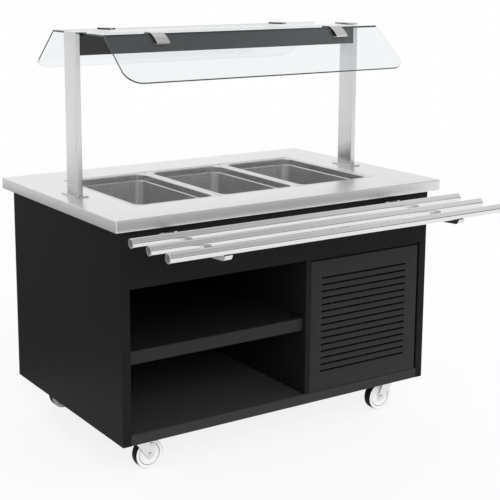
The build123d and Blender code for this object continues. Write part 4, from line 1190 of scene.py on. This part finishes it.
@dataclass
class TraySlide:
    """Three polished tubes on two arms that fold down at the customer's side."""

    radius: float = 15 * MM
    wall: float = 1.5 * MM
    count: int = 3
    tube_edge: float = 0.4 * MM
    disc: float = 2 * MM
    edge: float = 1 * MM
    dish: float = 0.6 * MM
    core: float = 0.5 * MM  # radius at which a disc's profile ends
    plug: float = 8 * MM
    plug_play: float = 0.1 * MM
    arm_width: float = 26 * MM
    arm_sheet: float = 3 * MM
    toe: tuple[float, float] = (9 * MM, 16.5 * MM)  # behind and below the arm's upper front corner
    toe_radius: float = 10 * MM
    heel: float = 34 * MM
    nose_sheet: float = 1.5 * MM
    nose_top: float = 3 * MM
    nose_land: float = 1 * MM
    nose_fold: float = 0.9 * MM
    nose_tail: float = 26 * MM

    def build(self) -> None:
        """Builds the tubes, their end discs and the arms' noses, and dresses arms and hinges."""
        low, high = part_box("tray_rails")
        tubes, discs = Surface(), Surface()
        level = (low.z + high.z) / 2
        for y in np.linspace(high.y - self.radius, low.y + self.radius, self.count):
            self.tube(tubes, (0.0, y, level), low.x + self.disc, high.x - self.disc)
            for end, out in ((low.x, -1.0), (high.x, 1.0)):
                self.end_disc(discs, (end, y, level), out)
        tray_tubes = tubes.build("tray_tubes", [RAIL_STEEL], 40)
        place(tray_tubes, "tray_slide", "stainless", "tray_rails")
        ends = discs.build("tray_tube_ends", [PAN_STEEL, DISC_STEEL], 30)
        place(ends, "tray_slide", "stainless", "tray_rails")
        dress(ARM_STEEL, "tray_arms")
        noses = self.noses().build("tray_arm_noses", [ARM_STEEL], 40)
        place(noses, "tray_slide", "stainless")
        dress(SHEET_STEEL, "tray_brackets")
        dress(ZINC, "tray_hinge_pins")

    def noses(self) -> Surface:
        """Bent strips that close the arms' channels at their noses, between the two flanges.

        Returns:
            The strips of both arms.
        """
        low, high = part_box("tray_arms")
        toe = np.array([low.y + self.toe[0], high.z - self.toe[1]])
        under = np.array([high.y, high.z - self.heel]) - toe
        tail = toe + under / np.linalg.norm(under) * self.nose_tail
        top = high.z - self.nose_top
        line = rounded_corners(
            [(low.y, top), (low.y, top - self.nose_land), toe, tail],
            [0, self.nose_fold, self.toe_radius, 0],
        )
        section = sheet_loop(line, self.nose_sheet)
        strips = Surface()
        half = self.arm_width / 2
        reach = half - self.arm_sheet
        for x in (low.x + half, high.x - half):
            strips.grid(carried(section, Axis.X, [x - reach, x + reach]), caps=True)
        return strips

    def tube(self, surface: Surface, centre: Sequence[float], start: float, end: float) -> None:
        """A tube's wall as one closed turned profile.

        Args:
            surface: Surface to add to.
            centre: Point on the tube's axis, at X 0.
            start: X of its left end.
            end: X of its right end.
        """
        outer, inner, soft = self.radius, self.radius - self.wall, self.tube_edge
        profile = [
            (start, inner),
            (start, outer - soft),
            (start + soft, outer),
            (end - soft, outer),
            (end, outer - soft),
            (end, inner),
        ]
        surface.grid(turned(profile, centre, Axis.X), wrap_rows=True)

    def end_disc(self, surface: Surface, end: Sequence[float], out: float) -> None:
        """A pressed end: a raised rim, a shallow dish and a rounded edge, turned about the tube.

        Args:
            surface: Surface to add to.
            end: Middle of the tube's end.
            out: 1.0 where the end faces along X and -1.0 where it faces back.
        """
        r, disc, edge, dish = self.radius, self.disc, self.edge, self.dish
        inner = r - self.wall - self.plug_play
        profile = [
            (dish, self.core),
            (dish, r * 0.55),
            (dish - 0.1 * MM, r * 0.72),
            (0.05 * MM, r * 0.8),
            (0.0, r * 0.84),
            (0.0, r - 2 * edge),
            (0.3 * MM, r - 0.6 * edge),
            (edge, r),
            (disc - 0.2 * MM, r),
            (disc, r - 0.4 * MM),
            (disc, inner),
            (disc + self.plug, inner),
            (disc + self.plug, self.core),
        ]
        pairs = [(-out * along, radius) for along, radius in profile]
        finish = np.array([[1]] * 3 + [[0]] * (len(pairs) - 4))  # the dish has the darker finish
        surface.grid(turned(pairs, end, Axis.X), caps=True, finish=finish, cap_finish=1)


@dataclass
class LouvredPanel:
    """The machine bay's front sheet: returned edges and slots with rolled lips and hoods."""

    sheet: float = 2 * MM
    edge: float = 1.5 * MM
    depth: float = 14 * MM
    step: float = 8 * MM  # shadow step at its right and top
    gap: float = 1 * MM
    slot: float = 5 * MM
    slot_length: float = 375 * MM
    slot_pitch: float = 23.7 * MM
    slot_count: int = 15
    slot_rise: float = 70 * MM  # lowest slot above the sheet's lower edge
    slot_end_flat: float = 0.05 * MM  # half the straight part of a slot's end
    lip: float = 2.6 * MM  # radius of the rolled lip
    lip_steps: int = 7
    lip_return: float = 1.2 * MM
    hood: float = 9 * MM
    hood_play: float = 0.1 * MM
    field_margin: float = 10 * MM

    def __post_init__(self) -> None:
        """Takes the sheet's place and the slots' heights from the frame."""
        low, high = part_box("louvred_panel")
        self.low, self.high = np.array(low), np.array(high)
        self.centre_x = (low.x - self.gap + high.x) / 2 - self.step
        self.half_field = self.slot_length / 2 + self.field_margin
        self.slots = low.z + self.slot_rise + self.slot_pitch * np.arange(self.slot_count)

    def build(self) -> None:
        """Builds the sheet as one closed skin, with the hoods and the flanges behind it."""
        skin = Surface()
        for z in self.slots:
            self.tile(skin, z)
        self.rim(skin)
        panel = skin.build("louvred_front", [BLACK_SHEET], 35)
        place(panel, "cabinet", "black_sheet", "louvred_panel")
        backs = self.backs().build("louvre_hoods", [BLACK_SHEET], 35)
        place(backs, "cabinet", "black_sheet", "louvred_panel")

    def tile(self, skin: Surface, z: float) -> None:
        """The sheet round one slot: out of a flat rectangle a lip rolls inwards about the slot.

        At angle a the lip's line lies lip * (1 - sin a) outside the slot and lip * (1 - cos a)
        behind the face.

        Args:
            skin: Surface to add to.
            z: Height of the slot.
        """
        angle = np.linspace(0, pi / 2, self.lip_steps)
        behind = self.lip + self.lip_return
        out = np.concatenate([self.lip * (1 - np.sin(angle)), [0.0, self.lip_return, behind]])
        back = np.concatenate([self.lip * (1 - np.cos(angle)), [behind] * 2, [self.sheet]])
        half_x, half_z = (
            np.concatenate([[edge], inner / 2 + out, [edge]])
            for edge, inner in (
                (self.half_field, self.slot_length),
                (self.slot_pitch / 2, self.slot),
            )
        )
        radius = np.concatenate([[0.0], self.slot / 2 + out - self.slot_end_flat, [0.0]])
        y = self.low[1] + np.concatenate([[0.0], back, [self.sheet]])
        rings = rounded_ring(half_x, half_z, radius, y, (self.centre_x, z))
        skin.grid(rings[..., [0, 2, 1]])

    def rim(self, skin: Surface) -> None:
        """The sheet round the slots' field, its rounded edge and its return.

        Each line has a point for every joint between two tiles, moved outwards in proportion.

        Args:
            skin: Surface to add to.
        """
        joints = np.append(self.slots, self.slots[-1] + self.slot_pitch) - self.slot_pitch / 2
        share = (joints - joints[0]) / (joints[-1] - joints[0])
        left, right = self.low[0], self.high[0] - self.step
        bottom, top = self.low[2], self.high[2] - self.step
        angle = np.linspace(0, pi / 2, FOLD_STEPS)
        rows: list[tuple[float | None, float]] = [(None, 0.0)]
        rows += list(zip(self.edge * (1 - np.sin(angle)), self.edge * (1 - np.cos(angle))))
        rows += [(0.0, self.depth), (self.sheet, self.depth), (self.sheet, self.sheet)]
        rows += [(None, self.sheet)]
        points = []
        for inset, back in rows:
            if inset is None:
                sides = (self.centre_x + self.half_field, self.centre_x - self.half_field)
                z = joints
            else:
                sides = (right - inset, left + inset)
                z = bottom + inset + share * (top - bottom - 2 * inset)
            x = np.repeat(sides, len(joints))
            y = np.full(len(x), self.low[1] + back)
            points.append(np.stack([x, y, np.concatenate([z, z[::-1]])], axis=-1))
        skin.grid(np.stack(points))

    def backs(self) -> Surface:
        """The hoods, each sloping down and back from its slot, and the flanges of the shadow step.

        Returns:
            The surfaces behind the sheet.
        """
        surface = Surface()
        sheet = self.sheet
        near = self.low[1] + sheet + self.hood_play
        far = near + self.hood
        back = self.low[1] + self.depth
        ends = self.centre_x + np.array([-0.5, 0.5]) * self.slot_length
        for z in self.slots:
            root, foot = z + self.slot / 2 + self.lip, z - self.slot / 2
            section = [(near, root + sheet), (near, root), (far - sheet, foot), (far, foot)]
            surface.grid(carried(np.array(section), Axis.X, ends), caps=True)
        inset = self.step + sheet
        right, top = self.high[0] - inset, self.high[2] - inset
        for ends, (bottom, z) in (
            ((right, self.high[0]), (self.low[2], top)),
            ((self.low[0], self.high[0]), (top, self.high[2])),
        ):
            section = [(back - sheet, bottom), (back, bottom), (back, z), (back - sheet, z)]
            surface.grid(carried(np.array(section), Axis.X, ends), caps=True)
        return surface


@dataclass
class Cabinet:
    """The black boards, the shelf and the sheet panels."""

    def build(self) -> None:
        """Dresses the boards and sheets and builds the louvred panel."""
        dress(BOARD, "left_side_panel", "right_side_panel", "front_fascia", "divider_wall")
        # the bay's floor and back wear the lighter copy of the board: painted light
        dress(BOARD_PAINTED_LIGHTER, "base_panel", "back_panel")
        dress(BLACK_SHEET, "bay_ceiling", "shelf", "shelf_angles", "service_panel")
        LouvredPanel().build()


@dataclass
class Machine:
    """The refrigeration unit and the drain."""

    def build(self) -> None:
        """Dresses the machine's parts."""
        dress(FINS, "condenser")
        dress(GALVANISED, "fan_shroud")
        dress(ENAMEL, "compressor", "fan_motor")
        dress(BLACK_PLASTIC, "fan", "drain_lever")
        dress(SHEET_STEEL, "drain_pipe")


@dataclass
class Controls:
    """The operator's switches and thermostat."""

    def build(self) -> None:
        """Dresses the controls."""
        dress(CONTROL_GREY, "control_housing")
        dress(BLACK_PLASTIC, "cooling_rocker", "lighting_rocker", "thermostat_knob")


@dataclass
class Castor:
    """One swivel castor: zinc fork, pale wheel and black tread."""

    corner: str
    radius: float = 50 * MM
    tread: float = 4 * MM
    tread_width: float = 32 * MM
    shoulder: float = 2.5 * MM
    crown: float = 0.6 * MM
    crown_cut: float = 0.1 * MM
    crown_radius: float = 60 * MM
    rim_width: float = 30 * MM
    rim: float = 7 * MM
    web: float = 25 * MM
    groove: float = 9 * MM
    groove_steps: Triple = (3.5 * MM, 3.0 * MM, 0.8 * MM)  # below the rim: lip, floor, floor's end
    hub: float = 12 * MM
    hub_flare: float = 1.5 * MM
    hub_width: float = 36 * MM
    bore: float = 4.05 * MM

    def build(self) -> None:
        """Builds the wheel and its tread and dresses the fork."""
        wheel_node = f"{self.corner}_wheel"
        body = f"{self.corner}_castor_wheel"
        centre = middle(wheel_node)
        band = self.tread_profile()
        side = np.abs(band[:, :1])
        walls = np.minimum(side, np.roll(side, -1, axis=0)) > self.tread_width / 2 - 1 * MM
        rings = turned(band, centre, Axis.Y)
        ring = Surface().grid(rings, wrap_rows=True, finish=walls.astype(int))
        tread = ring.build(f"{self.corner}_tread", [TREAD, WHEEL_GREY], 40)
        place(tread, body, "tread", f"{self.corner}_tyre")
        wheel = Surface().grid(turned(self.wheel_profile(), centre, Axis.Y), wrap_rows=True)
        disc = wheel.build(f"{self.corner}_wheel_disc", [WHEEL_GREY], 35)
        place(disc, body, "grey_plastic", wheel_node)
        dress(ZINC, f"{self.corner}_fork")

    def tread_profile(self) -> Array:
        """The tread's section: a crowned band with rounded shoulders.

        Returns:
            Its (distance along the axle, radius) pairs.
        """
        half = self.tread_width / 2
        inner = self.radius - self.tread
        top = self.radius + self.crown_cut
        edge = top - self.crown
        corners = [(-half, inner), (-half, edge), (0, top), (half, edge), (half, inner)]
        line = rounded_corners(corners, [0, self.shoulder, self.crown_radius, self.shoulder, 0])
        line[:, 1] = np.minimum(line[:, 1], self.radius)
        return line

    def wheel_profile(self) -> Array:
        """The wheel's section: bore, hub boss, dished web, groove and rim, alike on both sides.

        Returns:
            Its (distance along the axle, radius) pairs.
        """
        rim_out = self.radius - self.tread
        rim_in = rim_out - self.rim
        hub_side, web_side, rim_side = self.hub_width / 2, self.web / 2, self.rim_width / 2
        floor = web_side - self.groove
        groove_lip, groove_floor, floor_end = self.groove_steps
        side = [
            (hub_side, self.bore),
            (hub_side, self.hub),
            (web_side, self.hub + self.hub_flare),
            (web_side, rim_in - groove_lip),
            (floor, rim_in - groove_floor),
            (floor, rim_in - floor_end),
            (rim_side, rim_in),
            (rim_side, rim_out),
        ]
        radii = [0, 1.2 * MM, 1 * MM, 0.6 * MM, 0.4 * MM, 0.4 * MM, 1 * MM, 0]
        half = rounded_corners(side, radii)
        return np.concatenate([half, half[::-1] * np.array([-1.0, 1.0])])


# ----------------------------------------------------------------------------- stage


@dataclass(frozen=True)
class Lamp:
    """A soft lamp, far away, that no mirror shows."""

    name: str
    power: float
    turn: Triple  # degrees
    spread: float  # degrees

    def build(self) -> None:
        """Makes the lamp."""
        data = bpy.data.lights.new(self.name, "SUN")
        data.energy = self.power
        data.angle = radians(self.spread)
        lamp = bpy.data.objects.new(self.name, data)
        lamp.rotation_euler = [radians(a) for a in self.turn]
        lamp.visible_glossy = False
        bpy.context.scene.collection.objects.link(lamp)


LAMPS = (
    Lamp("key", 1.5, (60, 0, -15), 35),
    Lamp("fill", 0.6, (55, 0, 50), 60),
    Lamp("rear", 0.5, (50, 0, 170), 50),
)


@dataclass
class Studio:
    """The pale floor, the soft light and the camera."""

    focal_pixels: float = 1180.98
    picture: float = 500.0
    sensor: float = 36.0
    yaw: float = 32.358
    pitch: float = 10.869
    centre: tuple[float, float] = (210.0, 190.0)
    eye: Triple = (-2.2500, -3.3243, 1.6149)
    clip_end: float = 500.0
    front_right: Triple = (0.80, -0.60, 0.0)
    back_left: Triple = (-0.53, 0.85, 0.0)
    floor_half: float = 60.0
    floor_paint: float = 0.9
    floor_white: float = 0.85  # share of white over the paint, where the floor is seen
    band_begin: Span = (0.9, 1.3)
    band_end: Span = (5.35, 5.55)
    band_grey: float = 0.3
    ambient: float = 0.62
    ceiling_height: Span = (0.12, 0.4)
    ceiling_front: Span = (-0.05, 0.3)
    ceiling_side: Span = (0.5, 0.72)
    side_share: float = 0.6  # how much of the ceiling's shade is gone at the right
    ceiling_grey: float = 0.47
    strip_front: Span = (0.8, 0.93)
    strip_back: Span = (0.7, 0.9)
    strip_height: Span = (0.17, 0.25)
    strip_grey: float = 0.15

    def build(self) -> None:
        """Makes the stage."""
        self.camera()
        self.floor()
        self.world()
        for lamp in LAMPS:
            lamp.build()
        bpy.context.scene.view_settings.view_transform = "Standard"

    def camera(self) -> None:
        """A camera whose optical centre lies a little up and left of the picture's middle."""
        data = bpy.data.cameras.new("camera")
        data.sensor_width = self.sensor
        data.lens = self.focal_pixels * self.sensor / self.picture
        data.shift_x = (self.picture / 2 - self.centre[0]) / self.picture
        data.shift_y = (self.centre[1] - self.picture / 2) / self.picture
        data.clip_end = self.clip_end
        camera = bpy.data.objects.new("camera", data)
        camera.location = self.eye
        camera.rotation_euler = (radians(90 - self.pitch), 0.0, radians(-self.yaw))
        bpy.context.scene.collection.objects.link(camera)
        bpy.context.scene.camera = camera

    def floor(self) -> None:
        """A wide pale floor that keeps the object's shadow. Mirrors see a grey band on it."""
        far = self.floor_half
        corners = [(-far, -far, 0), (far, -far, 0), (-far, far, 0), (far, far, 0)]
        mesh = bpy.data.meshes.new("floor")
        mesh.from_pydata(corners, [], [(0, 1, 3, 2)])
        floor = bpy.data.objects.new("floor", mesh)
        bpy.context.scene.collection.objects.link(floor)
        material = bpy.data.materials.new("studio_floor")
        material.use_nodes = True
        shader = Shader(material.node_tree)
        seen, mirrored = self.seen(shader)
        way = shader.dot(shader.place(), self.back_left)
        band = way.smooth(*self.band_begin) * (1 - way.smooth(*self.band_end))
        light = shader.mix(band * mirrored, grey(1.0), grey(self.band_grey))
        paint = shader.node("ShaderNodeBsdfDiffuse", {}, {"Color": grey(self.floor_paint)})
        white = shader.node("ShaderNodeEmission", {}, {"Color": light, "Strength": 1.0})
        shader.show(shader.mix_shaders(seen * self.floor_white, paint, white))
        mesh.materials.append(material)

    def seen(self, shader: Shader) -> tuple[Value, Value]:
        """Marks rays that show the background.

        Args:
            shader: The tree to add to.

        Returns:
            1 for rays that are straight, mirrored or pass through glass, and 1 for mirrored ones.
        """
        rays = shader.tree.nodes.new("ShaderNodeLightPath").outputs
        straight, mirrored, through = (
            Value(shader, rays[name])
            for name in ("Is Camera Ray", "Is Glossy Ray", "Is Transmission Ray")
        )
        return straight.max(mirrored).max(through), mirrored

    def world(self) -> None:
        """White all round.

        Mirrors see a dim ceiling over the front right, and dark strips low down at the front right
        and at the back left.
        """
        world = bpy.data.worlds.new("studio")
        world.use_nodes = True
        bpy.context.scene.world = world
        shader = Shader(world.node_tree)
        seen, mirrored = self.seen(shader)
        way = shader.node("ShaderNodeTexCoord", output="Generated")
        height = shader.dot(way, (0.0, 0.0, 1.0))
        facing = shader.dot(way, self.front_right)
        sideways = shader.dot(way, (1.0, 0.0, 0.0)).smooth(*self.ceiling_side)
        behind = shader.dot(way, self.back_left).smooth(*self.strip_back)
        ceiling = height.smooth(*self.ceiling_height) * facing.smooth(*self.ceiling_front)
        ceiling = ceiling * (1 - self.side_share * sideways)
        strip = facing.smooth(*self.strip_front).max(behind)
        strip = strip * (1 - height.smooth(*self.strip_height))
        backdrop = shader.mix(ceiling * mirrored, grey(1.0), grey(self.ceiling_grey))
        backdrop = shader.mix(strip * mirrored, backdrop, grey(self.strip_grey))
        colour = shader.mix(seen, grey(self.ambient), backdrop)
        light = shader.node("ShaderNodeBackground", {}, {"Color": colour, "Strength": 1.0})
        shader.show(light, "ShaderNodeOutputWorld")


def main() -> None:
    """Builds the salad bar's sub-assemblies in order, then the studio."""
    logging.basicConfig(level=logging.INFO, format="%(message)s")
    parts: list[SubAssembly] = [
        Worktop(),
        *(Pan(node) for node in ("left_pan", "centre_pan", "right_pan")),
        Canopy(),
        TraySlide(),
        Cabinet(),
        Machine(),
        Controls(),
        *(Castor(corner) for corner in ("front_left", "front_right", "back_left", "back_right")),
    ]
    for part in parts:
        part.build()
    dress(ZINC, "castor_plates")
    Studio().build()


if __name__ == "__main__":
    main()
